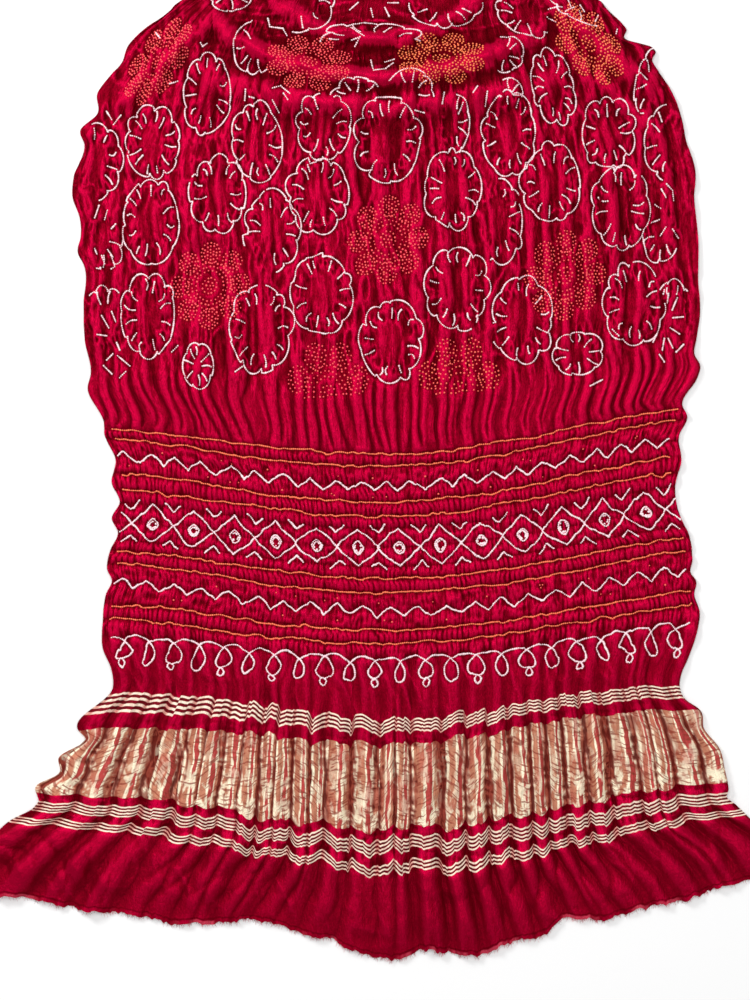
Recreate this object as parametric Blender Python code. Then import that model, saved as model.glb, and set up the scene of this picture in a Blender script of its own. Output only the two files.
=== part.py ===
"""A bandhani cloth: one length of tie-dyed satin silk with a woven gold border.

The cloth is one piece with no sewn parts. It lies face up on a flat surface, as it comes
from the tying, not ironed: it runs in long uneven folds from its top edge to its frayed
hem, is drawn in at its tied rows, and spreads out like a fan below the gold border.

+Z is up, +Y points from the hem to the top edge, and +X is to the right, seen from above.
The origin is on the surface, under the middle of the cloth.
"""

import math
from collections import namedtuple

import bpy

MM = 0.001

# The thickness of the puckered silk, and where the middle of the outline lies.
SHEET = 2.0 * MM
MIDDLE_X = 1.3
MIDDLE_Y = -1.6

CRIMSON = (0.50, 0.0, 0.035, 1.0)
SATIN_ROUGHNESS = 0.42

# The rows that cross the cloth, from the top edge to the hem, in millimetres on the surface.
# bow: how sharply the row dips in the middle. scallop: how far the crest of each fold
# reaches beyond the floor beside it, towards the hem.
Row = namedtuple("Row", "name left_x left_y middle_y right_x right_y bow scallop")
ROWS = (
    Row("top_edge", -118, 535, 560, 151, 535, 1.0, 0),
    Row("dome", -211, 493, 519, 245, 493, 1.0, 0),
    Row("shoulder", -252, 463, 478, 273, 463, 1.2, 0),
    Row("cowl_ridge", -270, 437, 444, 291, 438, 1.4, 0),
    Row("cowl_crease", -285, 416, 418, 306, 417, 1.4, 0),
    Row("field_1", -304, 382, 380, 325, 379, 1.4, 0),
    Row("field_2", -322, 339, 338, 342, 341, 1.4, 0),
    Row("field_3", -331, 289, 288, 352, 297, 1.4, 0),
    Row("field_4", -325, 245, 240, 353, 255, 1.4, 0),
    Row("field_5", -320, 199, 190, 355, 207, 1.4, 0),
    Row("field_6", -320, 150, 140, 357, 163, 1.4, 0),
    Row("field_7", -316, 108, 92, 353, 130, 1.4, 0),
    Row("strip_1", -315, 67, 47, 355, 90, 1.4, 0),
    Row("strip_2", -298, 36, 18, 338, 56, 1.4, 0),
    Row("orange_1", -296, 21, -6, 340, 44, 1.4, 0),
    Row("zigzag_1", -286, -9, -42, 331, 8, 1.4, 0),
    Row("orange_4", -284, -47, -76, 332, -28, 1.4, 0),
    Row("diamonds", -284, -81, -108, 336, -66, 1.4, 0),
    Row("orange_5", -290, -113, -144, 346, -99, 1.4, 0),
    Row("zigzag_2", -290, -147, -179, 350, -134, 1.4, 0),
    Row("orange_8", -299, -189, -215, 355, -174, 1.5, 0),
    Row("loops_end", -289, -242, -264, 342, -231, 1.8, 0),
    Row("stripes_1", -288, -268, -299, 336, -260, 2.2, -4),
    Row("band_top", -320, -304, -323, 349, -282, 2.4, -5),
    Row("band_middle", -346, -340, -370, 376, -328, 2.2, 1),
    Row("band_end", -369, -374, -406, 386, -362, 2.0, 7),
    Row("stripes_2", -374, -394, -431, 393, -386, 1.8, 7),
    Row("stripes_3", -402, -410, -460, 407, -402, 1.5, 6),
    Row("hem_middle", -432, -446, -510, 434, -430, 1.2, 2),
    Row("hem", -446, -486, -561, 448, -466, 1.0, 0),
)

# The long folds, from left to right. width: across the gold border, in millimetres.
# The next six are the fold's height at the rows in HEIGHT_ROWS. reach: how far the hem
# hangs beyond its even line there.
Fold = namedtuple("Fold", "width top field strip tied zari hem reach")
HEIGHT_ROWS = ("top_edge", "field_3", "strip_1", "diamonds", "band_middle", "hem")
FOLDS = (
    Fold(33, 2, 4, 6, 3, 8, 5, 0),
    Fold(35, 3, 6, 8, 4, 12, 9, -2),
    Fold(32, 3, 8, 7, 4, 10, 6, 3),
    Fold(34, 2, 5, 9, 5, 13, 11, -8),
    Fold(46, 4, 8, 8, 4, 15, 8, -7),
    Fold(42, 3, 6, 10, 5, 12, 12, -23),
    Fold(38, 4, 9, 8, 4, 14, 7, -33),
    Fold(39, 3, 7, 9, 5, 15, 10, -25),
    Fold(31, 4, 6, 7, 4, 11, 8, -18),
    Fold(31, 3, 8, 9, 5, 13, 11, -4),
    Fold(37, 4, 9, 8, 4, 15, 8, 3),
    Fold(35, 3, 6, 10, 5, 14, 12, -11),
    Fold(29, 4, 8, 8, 4, 12, 7, -1),
    Fold(25, 3, 5, 7, 4, 9, 9, 7),
    Fold(25, 3, 7, 8, 4, 11, 6, -2),
    Fold(24, 2, 6, 7, 4, 11, 10, -1),
    Fold(19, 2, 4, 6, 3, 8, 6, -4),
    Fold(19, 3, 6, 6, 4, 9, 8, -18),
    Fold(25, 3, 7, 8, 4, 11, 7, -8),
    Fold(25, 2, 5, 7, 4, 12, 9, 1),
    Fold(33, 4, 9, 9, 5, 14, 8, 1),
    Fold(36, 3, 6, 8, 4, 12, 10, 8),
    Fold(34, 3, 8, 7, 4, 11, 7, 4),
    Fold(25, 2, 4, 6, 3, 8, 5, 4),
)

# One fold across: each step's share of the fold's width, and its share of the height.
# The first two are the floor, which lies flat on the surface.
FOLD_STEPS = ((0.0, 0.0), (0.24, 0.0), (0.46, 1.0), (0.76, 0.82))

# How fast the scallops and the reach of the folds fade towards the two selvedges.
EDGE_FADE = 0.5

# Below its last tied row the cloth is let out: it spreads from the selvedges inwards, by
# less and less over this many millimetres, and the folds in the middle run straight down.
LAST_TIED_ROW = "orange_8"
LET_OUT = 85
BORDER_ROW = "band_middle"
BORDER_SAMPLES = 240

# A fold's height rises and falls along its length by this share, over this many millimetres.
UNEVEN_SHARE = 0.22
UNEVEN_LENGTH = 190
UNEVEN_TURN = 2.4

# Folds that cross the others where the cloth is bunched up near its top edge. Each runs
# between two points and dips towards the hem on its way. All in millimetres.
Swag = namedtuple("Swag", "name left_x left_y right_x right_y dip height width")
SWAGS = (
    Swag("collar", -120, 500, 125, 500, 52, 12, 11),
    Swag("cowl_lip", -178, 462, 190, 462, 56, 19, 13),
    Swag("cowl_apron", -205, 415, 215, 415, 38, 11, 17),
    Swag("left_shoulder", -290, 375, -140, 505, 0, 9, 13),
    Swag("right_shoulder", 160, 515, 318, 382, 0, 11, 12),
    Swag("right_shoulder_low", 200, 452, 322, 330, 0, 7, 12),
)


def clear_scene():
    for item in list(bpy.data.objects):
        bpy.data.objects.remove(item, do_unlink=True)


def blend(knots, values, place):
    """The value at a place between knots, along straight runs."""
    for i in range(len(knots) - 1):
        if place <= knots[i + 1]:
            share = (place - knots[i]) / (knots[i + 1] - knots[i])
            return values[i] + share * (values[i + 1] - values[i])
    return values[-1]


def along_of(row):
    """How far down the middle of the cloth a row lies, in millimetres."""
    return ROWS[0].middle_y - row.middle_y


def named_row(name):
    return next(row for row in ROWS if row.name == name)


def row_x(row, share):
    """How far to the right a share of the cloth's width lies on a row, in millimetres."""
    tied = named_row(LAST_TIED_ROW)
    if along_of(row) <= along_of(tied):
        return row.left_x + share * (row.right_x - row.left_x)
    width = tied.right_x - tied.left_x
    left = math.exp(-share * width / LET_OUT)
    right = math.exp(-(1 - share) * width / LET_OUT)
    spread = (row.left_x - tied.left_x) * left + (row.right_x - tied.right_x) * right
    return tied.left_x + share * width + spread


def fold_columns():
    """Every column of points: its share of the width, its fold and its share of the height."""
    border = named_row(BORDER_ROW)
    shares = [i / BORDER_SAMPLES for i in range(BORDER_SAMPLES + 1)]
    places = [row_x(border, share) for share in shares]
    scale = (places[-1] - places[0]) / sum(fold.width for fold in FOLDS)
    columns = []
    start = places[0]
    for number, fold in enumerate(FOLDS):
        for step, rise in FOLD_STEPS:
            place = start + step * fold.width * scale
            columns.append((blend(places, shares, place), number, rise))
        start += fold.width * scale
    columns.append((1.0, len(FOLDS) - 1, 0.0))
    return columns


def fold_height(number, along):
    """The height of a fold's crest at a distance down the cloth, in millimetres."""
    fold = FOLDS[number]
    knots = [along_of(row) for row in ROWS if row.name in HEIGHT_ROWS]
    heights = (fold.top, fold.field, fold.strip, fold.tied, fold.zari, fold.hem)
    wave = math.sin(2 * math.pi * along / UNEVEN_LENGTH + UNEVEN_TURN * number)
    return blend(knots, heights, along) * (1 + UNEVEN_SHARE * wave)


def swag_height(x, y):
    """The height of the folds that cross the others, in millimetres."""
    height = 0.0
    for swag in SWAGS:
        span = swag.right_x - swag.left_x
        share = (x - swag.left_x) / span
        if not 0 < share < 1:
            continue
        rise = swag.right_y - swag.left_y
        line_y = swag.left_y + rise * share - 4 * swag.dip * share * (1 - share)
        slope = (rise - 4 * swag.dip * (1 - 2 * share)) / span
        distance = (y - line_y) / math.hypot(1, slope)
        fade = math.sqrt(math.sin(math.pi * share))
        height += swag.height * fade * math.exp(-((distance / swag.width) ** 2))
    return height


def hem_share(along):
    """0 down to the gold stripes and 1 at the hem: how much of a fold's reach shows."""
    start = along_of(named_row("stripes_2"))
    return max(0.0, (along - start) / (along_of(ROWS[-1]) - start))


def cloth_point(row, column):
    """One point of the cloth's underside, in millimetres."""
    share, number, rise = column
    along = along_of(row)
    even_y = row.left_y + share * (row.right_y - row.left_y)
    dip = row.middle_y - (row.left_y + row.right_y) / 2
    x = row_x(row, share)
    y = even_y + dip * math.sin(math.pi * share) ** row.bow
    lag = row.scallop * rise + FOLDS[number].reach * hem_share(along)
    y -= lag * math.sin(math.pi * share) ** EDGE_FADE
    z = fold_height(number, along) * rise + swag_height(x, y)
    return x - MIDDLE_X, y - MIDDLE_Y, z


def sheet_mesh(name):
    """A closed sheet: the underside, the face above it, and the edge all round."""
    columns = fold_columns()
    across = len(columns)
    under = [cloth_point(row, column) for row in ROWS for column in columns]
    points = [(x * MM, y * MM, z * MM) for x, y, z in under]
    points += [(x, y, z + SHEET) for x, y, z in points]
    lift = across * len(ROWS)
    faces = []
    for down in range(len(ROWS) - 1):
        for over in range(across - 1):
            a = down * across + over
            quad = (a, a + 1, a + 1 + across, a + across)
            faces.append(quad)
            faces.append(tuple(corner + lift for corner in reversed(quad)))
    last = (len(ROWS) - 1) * across
    rim = list(range(across))
    rim += [down * across + across - 1 for down in range(1, len(ROWS))]
    rim += [last + over for over in range(across - 2, -1, -1)]
    rim += [down * across for down in range(len(ROWS) - 2, 0, -1)]
    for here, there in zip(rim, rim[1:] + rim[:1]):
        faces.append((there, here, here + lift, there + lift))
    mesh = bpy.data.meshes.new(name)
    mesh.from_pydata(points, [], faces)
    mesh.validate()
    mesh.shade_smooth()
    mesh.set_sharp_from_angle(angle=math.radians(50))
    return mesh


def silk_material():
    material = bpy.data.materials.new("crimson_silk")
    material.use_nodes = True
    shader = material.node_tree.nodes["Principled BSDF"]
    shader.inputs["Base Color"].default_value = CRIMSON
    shader.inputs["Roughness"].default_value = SATIN_ROUGHNESS
    shader.inputs["Metallic"].default_value = 0.0
    return material


def make_cloth():
    cloth = bpy.data.objects.new("cloth", sheet_mesh("cloth"))
    cloth.data.materials.append(silk_material())
    bpy.context.scene.collection.objects.link(cloth)
    return cloth


clear_scene()
make_cloth()
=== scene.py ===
"""A bandhani cloth, laid face up: tie-dyed crimson satin silk with a woven gold border.

The cloth is cut into four pieces across its length only to keep each mesh small: they share
the points and normals of one grid, so no seam shows.
"""

import math
from collections import namedtuple

import bpy
import numpy as np
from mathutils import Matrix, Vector
from mathutils.bvhtree import BVHTree


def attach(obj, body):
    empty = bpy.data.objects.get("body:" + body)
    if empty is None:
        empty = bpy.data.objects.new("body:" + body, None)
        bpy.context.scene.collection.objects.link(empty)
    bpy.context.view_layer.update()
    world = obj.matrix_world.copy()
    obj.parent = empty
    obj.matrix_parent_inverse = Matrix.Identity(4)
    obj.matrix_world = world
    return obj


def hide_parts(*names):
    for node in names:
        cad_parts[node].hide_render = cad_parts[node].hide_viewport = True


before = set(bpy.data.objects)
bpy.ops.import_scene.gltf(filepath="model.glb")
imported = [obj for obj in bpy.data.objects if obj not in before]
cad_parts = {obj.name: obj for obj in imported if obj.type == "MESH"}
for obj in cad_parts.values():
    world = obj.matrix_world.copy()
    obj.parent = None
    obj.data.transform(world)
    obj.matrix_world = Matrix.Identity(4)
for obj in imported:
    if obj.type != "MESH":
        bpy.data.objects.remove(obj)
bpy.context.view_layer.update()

MM = 0.001

# The photo's frame: millimetres to a pixel, and the pixel over the tables' zero.
PIXEL = 1.1
ZERO_X_PX = 375
ZERO_Y_PX = 448
FRAME_WIDE_PX = 750
FRAME_HIGH_PX = 1000

# Where the middle of the outline lies in the tables below, in millimetres.
MIDDLE_X = 1.3
MIDDLE_Y = -1.6

# The rows that cross the cloth, from the top edge to the hem, in millimetres on the surface.
# bow: how sharply the row dips in the middle. scallop: how far the crest of each fold
# reaches beyond the floor beside it, towards the hem.
Row = namedtuple("Row", "name left_x left_y middle_y right_x right_y bow scallop")
ROWS = (
    Row("top_edge", -118, 535, 560, 151, 535, 1.0, 0),
    Row("dome", -211, 493, 519, 245, 493, 1.0, 0),
    Row("shoulder", -252, 463, 478, 273, 463, 1.2, 0),
    Row("cowl_ridge", -270, 437, 444, 291, 438, 1.4, 0),
    Row("cowl_crease", -285, 416, 418, 306, 417, 1.4, 0),
    Row("field_1", -304, 382, 380, 325, 379, 1.4, 0),
    Row("field_2", -322, 339, 338, 342, 341, 1.4, 0),
    Row("field_3", -331, 289, 288, 352, 297, 1.4, 0),
    Row("field_4", -325, 245, 240, 353, 255, 1.4, 0),
    Row("field_5", -320, 199, 190, 355, 207, 1.4, 0),
    Row("field_6", -320, 150, 140, 357, 163, 1.4, 0),
    Row("field_7", -316, 108, 92, 353, 130, 1.4, 0),
    Row("strip_1", -315, 67, 47, 355, 90, 1.4, 0),
    Row("strip_2", -298, 36, 18, 338, 56, 1.4, 0),
    Row("orange_1", -296, 21, -6, 340, 44, 1.4, 0),
    Row("zigzag_1", -286, -9, -42, 331, 8, 1.4, 0),
    Row("orange_4", -284, -47, -76, 332, -28, 1.4, 0),
    Row("diamonds", -284, -81, -108, 336, -66, 1.4, 0),
    Row("orange_5", -290, -113, -144, 346, -99, 1.4, 0),
    Row("zigzag_2", -290, -147, -179, 350, -134, 1.4, 0),
    Row("orange_8", -299, -189, -215, 355, -174, 1.5, 0),
    Row("loops_end", -289, -242, -264, 342, -231, 1.8, 0),
    Row("stripes_1", -288, -268, -299, 336, -260, 2.2, -4),
    Row("band_top", -320, -304, -323, 349, -282, 2.4, -5),
    Row("band_middle", -346, -340, -370, 376, -328, 2.2, 1),
    Row("band_end", -369, -374, -406, 386, -362, 2.0, 7),
    Row("stripes_2", -374, -394, -431, 393, -386, 1.8, 7),
    Row("stripes_3", -402, -410, -460, 407, -402, 1.5, 6),
    Row("hem_middle", -432, -446, -510, 434, -430, 1.2, 2),
    Row("hem", -446, -486, -561, 448, -466, 1.0, 0),
)

# The long folds, from left to right. width: across the gold border, in millimetres.
# The next six are the fold's height at the rows in HEIGHT_ROWS. reach: how far the hem
# hangs beyond its even line there.
Fold = namedtuple("Fold", "width top field strip tied zari hem reach")
HEIGHT_ROWS = ("top_edge", "field_3", "strip_1", "diamonds", "band_middle", "hem")
FOLDS = (
    Fold(33, 2, 4, 6, 3, 8, 5, 0),
    Fold(35, 3, 6, 8, 4, 12, 9, -2),
    Fold(32, 3, 8, 7, 4, 10, 6, 3),
    Fold(34, 2, 5, 9, 5, 13, 11, -8),
    Fold(46, 4, 8, 8, 4, 15, 8, -7),
    Fold(42, 3, 6, 10, 5, 12, 12, -23),
    Fold(38, 4, 9, 8, 4, 14, 7, -33),
    Fold(39, 3, 7, 9, 5, 15, 10, -25),
    Fold(31, 4, 6, 7, 4, 11, 8, -18),
    Fold(31, 3, 8, 9, 5, 13, 11, -4),
    Fold(37, 4, 9, 8, 4, 15, 8, 3),
    Fold(35, 3, 6, 10, 5, 14, 12, -11),
    Fold(29, 4, 8, 8, 4, 12, 7, -1),
    Fold(25, 3, 5, 7, 4, 9, 9, 7),
    Fold(25, 3, 7, 8, 4, 11, 6, -2),
    Fold(24, 2, 6, 7, 4, 11, 10, -1),
    Fold(19, 2, 4, 6, 3, 8, 6, -4),
    Fold(19, 3, 6, 6, 4, 9, 8, -18),
    Fold(25, 3, 7, 8, 4, 11, 7, -8),
    Fold(25, 2, 5, 7, 4, 12, 9, 1),
    Fold(33, 4, 9, 9, 5, 14, 8, 1),
    Fold(36, 3, 6, 8, 4, 12, 10, 8),
    Fold(34, 3, 8, 7, 4, 11, 7, 4),
    Fold(25, 2, 4, 6, 3, 8, 5, 4),
)

# One fold across: each step's share of the fold's width, and its share of the height. A fold
# has its floor up to VALLEY, its corners are rounded, and its height is uneven along it: by
# this share of the height, over this length in millimetres, out of step from fold to fold.
FOLD_STEPS = ((0.0, 0.0), (0.24, 0.0), (0.46, 1.0), (0.76, 0.82), (1.0, 0.0))
FOLD_SOFTNESS = 0.09
VALLEY = 0.12
EDGE_FADE = 0.5
UNEVEN_SHARE = 0.22
UNEVEN_LENGTH = 190
UNEVEN_TURN = 2.4

# Folds that cross the others where the cloth is bunched up near its top edge. Each runs
# between two points and dips towards the hem on its way. All in millimetres.
Swag = namedtuple("Swag", "name left_x left_y right_x right_y dip height width")
SWAGS = (
    Swag("collar", -120, 500, 125, 500, 52, 12, 11),
    Swag("cowl_lip", -178, 462, 190, 462, 56, 19, 13),
    Swag("cowl_apron", -205, 415, 215, 415, 38, 11, 17),
    Swag("left_shoulder", -290, 375, -140, 505, 0, 9, 13),
    Swag("right_shoulder", 160, 515, 318, 382, 0, 11, 12),
    Swag("right_shoulder_low", 200, 452, 322, 330, 0, 7, 12),
)

# How far down the middle of the cloth its tied and woven lines lie, in millimetres.
ORANGE_LINES = (566, 580, 619.5, 635, 703.5, 718.5, 760, 774.5)
ZIGZAGS = (602, 739.5)
DIAMOND_LINE = 669
TICK_LINES = (648, 690)
LOOP_LINE = 804
LOOP_HIGH_MEAN = 14
GOLD_BAND = (889, 971)
# Each group of thin gold lines: first edge, pitch, count.
GOLD_LINES = ((860.5, 4.2, 4), (981, 4.3, 4), (1009, 4.6, 3))

# The two selvedges down to where they leave the photo, with the lobes between the ties: each
# point's height and place in the photo, in pixels.
LEFT_EDGE = (
    (0, 183), (14, 167), (31, 143), (45, 129), (63, 122), (79, 108), (93, 98), (115, 97),
    (130, 81), (146, 85), (177, 74), (198, 73), (218, 80), (237, 81), (253, 78), (265, 84),
    (306, 84), (340, 85), (375, 91), (387, 88), (422, 104), (435, 105), (461, 116), (483, 112),
    (502, 120), (519, 112), (531, 118), (552, 110), (571, 108), (579, 112), (595, 106),
    (622, 103), (648, 103), (670, 112), (688, 113), (729, 78), (739, 86), (756, 60),
    (775, 57), (784, 38), (796, 38), (806, 42), (812, 30),
)
RIGHT_EDGE = (
    (0, 593), (12, 609), (29, 626), (42, 632), (45, 645), (62, 652), (93, 672), (117, 681),
    (141, 686), (170, 695), (198, 694), (239, 698), (282, 698), (313, 700), (340, 696),
    (354, 694), (366, 700), (378, 697), (404, 682), (418, 687), (435, 679), (461, 681),
    (485, 675), (519, 681), (533, 688), (560, 692), (574, 691), (579, 695), (595, 694),
    (610, 699), (638, 695), (658, 688), (674, 681), (689, 680), (700, 686), (708, 698),
    (729, 704), (748, 719), (768, 724), (789, 728), (801, 727), (808, 739), (814, 744),
)
EDGE_FROM_PX = 0
EDGE_TO_PX = 806
EDGE_FADE_PX = 12

# How far a lobe is felt inwards from its selvedge, and how far it may reach, in millimetres.
EDGE_DEPTH = 15
EDGE_REACH = 16

# Below its last tied row the cloth is let out: it spreads from the selvedges inwards, by
# less and less over this many millimetres.
LAST_TIED_ROW = "orange_8"
LET_OUT = 85
BORDER_ROW = "band_middle"

# How far the woven lines step up and down where pleats lean over, in millimetres: the distance
# down the cloth, and the step there.
RUFFLE_STEPS = (
    (810, 0), (862, 5.0), (889, 4.0), (930, 1.2), (971, 3.0), (990, 5.0), (1018, 5.0), (1055, 0),
)

# A fold of the gold border that is wider than this, in millimetres, is creased into two pleats.
# The woven lines hang in a lobe on each pleat: the lobes' least and greatest size, as a share
# of the row's scallop, how much of a lobe is its curve, and the part of a pleat that is crease.
ONE_PLEAT_WIDE = 35.5
LOBES = (0.4, 1.6)
LOBE_CURVE = 0.65
PLEAT_EDGE = 0.07

# Deep pits under the cowl: place and half size in the photo's pixels, and depth in millimetres.
PITS = (
    (352, 42, 9, 6, 6), (388, 98, 10, 8, 6), (345, 88, 22, 8, 4), (398, 40, 7, 4, 4),
    (300, 42, 16, 5, 3),
)

# Grid: columns across, and the rows of each piece with the lines where it starts and ends. The
# underside has one cell to so many columns and rows.
COLUMNS = 648
Part = namedtuple("Part", "name start end rows flat_length")
PARTS = (
    Part("cloth_top", 0, 290, 125, 0.25),
    Part("cloth_field", 290, 566, 125, 0.28),
    Part("cloth_tied_rows", 566, 860, 140, 0.29),
    Part("cloth_gold_end", 860, 1121, 105, 0.28),
)
UNDER_COLUMNS = 6
UNDER_ROWS = 5

# The flat cloth's width, in metres. Then, in millimetres: the sheet's thickness, the lowest that
# its face may lie, and how far the floors of its folds are lifted.
FLAT_WIDTH = 0.95
THICKNESS = 0.7
LOWEST_TOP = 0.9
LIFT = 1.6

# Zones down the cloth, in millimetres: where each starts and ends, and how softly.
Zone = namedtuple("Zone", "start end soft")
STRIP = Zone(488, 562, 16)
TIED_ROWS = Zone(566, 788, 6)
GATHER = Zone(794, 872, 12)
BORDER = Zone(872, 1008, 10)
FIELD_END = (455, 515)
HEM_START = (1005, 1030)
HEM_REACH_FROM = 991
HEM_THINS_FROM = 45
FRAY_DEEP = 14

# Narrow pleats: how many lie across the cloth, how far they wander, in pleats, how high they
# stand, in millimetres, how blunt their crests are (1 is plain), and the seed of their wander.
Pleating = namedtuple("Pleating", "count wander high blunt seed")
LONG_PLEATS = Pleating(46, 1.1, 2.2, 1, 81)
STRIP_PLEATS = Pleating(46, 0.8, 5.6, 0.7, 84)
STRIP_FINE_PLEATS = Pleating(96, 1.2, 0.9, 1, 85)
GATHER_PLEATS = Pleating(52, 0.9, 1.2, 1, 87)
BORDER_PLEATS = Pleating(66, 1.2, 1.3, 1, 92)
HEM_PLEATS = Pleating(23, 2.0, 3.6, 1, 95)

# How far the strip's pleats lean towards the selvedges, as a share of the width.
STRIP_SLANT = -0.003

# The hem's folds fan out from this share of the width, by this share of it at each selvedge.
HEM_MIDDLE = 0.46
HEM_LEAN = 0.045

# How much lower the folds lie in each zone, as a share of their table height.
FLATTER_STRIP = 0.6
FLATTER_TIED = 0.7
FLATTER_GATHER = 0.8
FLATTER_BORDER = 0.62

# How much of their table height the crossing folds have in the fine cloth, and the cowl they
# form at the top: half its width, and how far up it starts, in millimetres.
SWAG_SHARE = 1.15
COWL_WIDE = 175
COWL_FROM = 385

# Hollows are read at two scales: reach and depth in millimetres, and the part of each. The
# cowl's crossing folds are read by themselves. The silk and gold are painted darker by them: painted
# shade in the creases.
HOLLOW_SCALES = ((2.4, 0.7, 0.6), (7.0, 3.2, 0.4))
COWL_HOLLOW = (14.0, 4.0, 0.9)


def smooth_values(knots, values, place):
    """Values between knots, along a smooth curve through them all."""
    knots = np.asarray(knots, float)
    values = np.asarray(values, float)
    slopes = np.gradient(values, knots)
    i = np.clip(np.searchsorted(knots, place, side="right") - 1, 0, len(knots) - 2)
    step = knots[i + 1] - knots[i]
    t = np.clip((place - knots[i]) / step, 0, 1)
    a = (1 + 2 * t) * (1 - t) ** 2
    b = t * (1 - t) ** 2
    c = t * t * (3 - 2 * t)
    d = t * t * (t - 1)
    return a * values[i] + b * step * slopes[i] + c * values[i + 1] + d * step * slopes[i + 1]


def between_cells(table, ix, iy, fx, fy):
    """Values between the cells of a table, which repeats past its edges."""
    rows, columns = table.shape
    here, right = ix % columns, (ix + 1) % columns
    line, below = iy % rows, (iy + 1) % rows
    top = table[line, here] * (1 - fx) + table[line, right] * fx
    low = table[below, here] * (1 - fx) + table[below, right] * fx
    return top * (1 - fy) + low * fy


def noise(x, y, seed, cells=97):
    """Smooth noise from -1 to 1, with about one bump to each unit of x and y."""
    table = np.random.default_rng(seed).uniform(-1, 1, (cells, cells))
    ix = np.floor(x).astype(int)
    iy = np.floor(y).astype(int)
    fx = x - ix
    fy = y - iy
    return between_cells(table, ix, iy, fx * fx * (3 - 2 * fx), fy * fy * (3 - 2 * fy))


def step_up(place, start, end):
    """0 before start, 1 after end, smooth between."""
    t = np.clip((place - start) / (end - start), 0, 1)
    return t * t * (3 - 2 * t)


def between(place, start, end, soft):
    """1 from start to end and 0 elsewhere, smooth between."""
    return step_up(place, start - soft, start + soft) * (1 - step_up(place, end - soft, end + soft))


ALONG = [ROWS[0].middle_y - row.middle_y for row in ROWS]
LENGTH = ALONG[-1]
HEIGHT_KNOTS = [ROWS[0].middle_y - row.middle_y for row in ROWS if row.name in HEIGHT_ROWS]
TIED = next(row for row in ROWS if row.name == LAST_TIED_ROW)
TIED_ALONG = ROWS[0].middle_y - TIED.middle_y


def row_value(column, along):
    """A column of the rows' table, at any distance down the cloth."""
    return smooth_values(ALONG, [getattr(row, column) for row in ROWS], along)


def across(share, along, left_x, right_x):
    """How far to the right a share of the width lies: evenly spaced down to the last tied
    row, and let out from the selvedges below it."""
    width = TIED.right_x - TIED.left_x
    left = np.exp(-share * width / LET_OUT)
    right = np.exp(-(1 - share) * width / LET_OUT)
    spread = (left_x - TIED.left_x) * left + (right_x - TIED.right_x) * right
    even = left_x + share * (right_x - left_x)
    return np.where(along > TIED_ALONG, TIED.left_x + share * width + spread, even)


def fold_starts():
    """Each fold's start as a share of the width, from the widths across the gold border."""
    border = next(row for row in ROWS if row.name == BORDER_ROW)
    shares = np.linspace(0, 1, 241)
    places = across(shares, ROWS[0].middle_y - border.middle_y, border.left_x, border.right_x)
    edges = np.concatenate([[0], np.cumsum([fold.width for fold in FOLDS])])
    edges = places[0] + edges * (places[-1] - places[0]) / edges[-1]
    return np.interp(edges, places, shares)


FOLD_STARTS = fold_starts()


def soft_profile():
    """The rise of one fold across its width, with its corners rounded."""
    t = np.linspace(0, 1, 201)
    rise = np.interp(t, *zip(*FOLD_STEPS))
    reach = int(FOLD_SOFTNESS * 200)
    kernel = np.hanning(2 * reach + 1)
    padded = np.concatenate([rise[-reach - 1:-1], rise, rise[1:reach + 1]])
    return t, np.convolve(padded, kernel / kernel.sum(), mode="valid")


PROFILE = soft_profile()


def fold_place(share, along):
    """Which fold a point is on, and its place across that fold, from 0 to 1."""
    loose = step_up(along, 0, 120) * (1 - 0.6 * step_up(along, 480, 560))
    wander = 0.005 * noise(share * 9, along / 110, 11) * loose
    place = np.clip(share + wander * np.sin(np.pi * share), 0, 0.99999)
    number = np.searchsorted(FOLD_STARTS, place, side="right") - 1
    t = (place - FOLD_STARTS[number]) / (FOLD_STARTS[number + 1] - FOLD_STARTS[number])
    return number, t


def fold_rise(share, along):
    """Which fold a point is on, and how far it is up that fold, from 0 to 1."""
    number, t = fold_place(share, along)
    return number, np.interp(t, *PROFILE)


def border_pleat(share, along):
    """Which pleat of the gold border a point is on, as a whole number, and its place across
    it as the rest. The pleats meet in the floors between the folds."""
    number, t = fold_place(share, along)
    inside = np.array([1 + (fold.width > ONE_PLEAT_WIDE) for fold in FOLDS])
    first = np.concatenate([[1], 1 + np.cumsum(inside)])
    mine = np.where(t < VALLEY, inside[np.maximum(number - 1, 0)], inside[number])
    return first[number] + (t - VALLEY) * mine


def per_pleat(place, at_left, at_right):
    """A value that runs straight across each pleat, and changes to the next in the crease."""
    places = np.arange(len(at_left))
    knots = np.stack([places + PLEAT_EDGE, places + 1 - PLEAT_EDGE], axis=1).ravel()
    return np.interp(place, knots, np.stack([at_left, at_right], axis=1).ravel())


def scallops(share, along):
    """How far the weft lines swing out on each pleat, as a share of the row's scallop: a round
    lobe between two creases, uneven from pleat to pleat."""
    place = border_pleat(share, along)
    rest = place % 1
    sizes = np.random.default_rng(13).uniform(*LOBES, 2 * len(FOLDS))
    lobe = 1 - LOBE_CURVE + LOBE_CURVE * (4 * rest * (1 - rest)) ** 0.8
    small = np.abs(np.sin(np.pi * (share * 57 + 0.8 * noise(share * 12, along / 80, 14)))) ** 0.8
    few = np.clip(noise(share * 22, along / 90, 15) + 0.45, 0, 1)
    return lobe * per_pleat(place, sizes, sizes) + 0.45 * small * few


def ruffles(share, along):
    """How far a woven line leans up or down on each pleat, from -1 to 1: a straight slope that
    jumps back in the next crease."""
    slopes = np.random.default_rng(17).uniform(-1, 1, 2 * len(FOLDS))
    slopes = np.sign(slopes) * np.abs(slopes) ** 0.7
    place = border_pleat(share, along)
    narrow = np.random.default_rng(19).uniform(-0.5, 0.5, 5 * len(FOLDS))
    return per_pleat(place, -slopes, slopes) + per_pleat(2.3 * place, -narrow, narrow)


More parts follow.
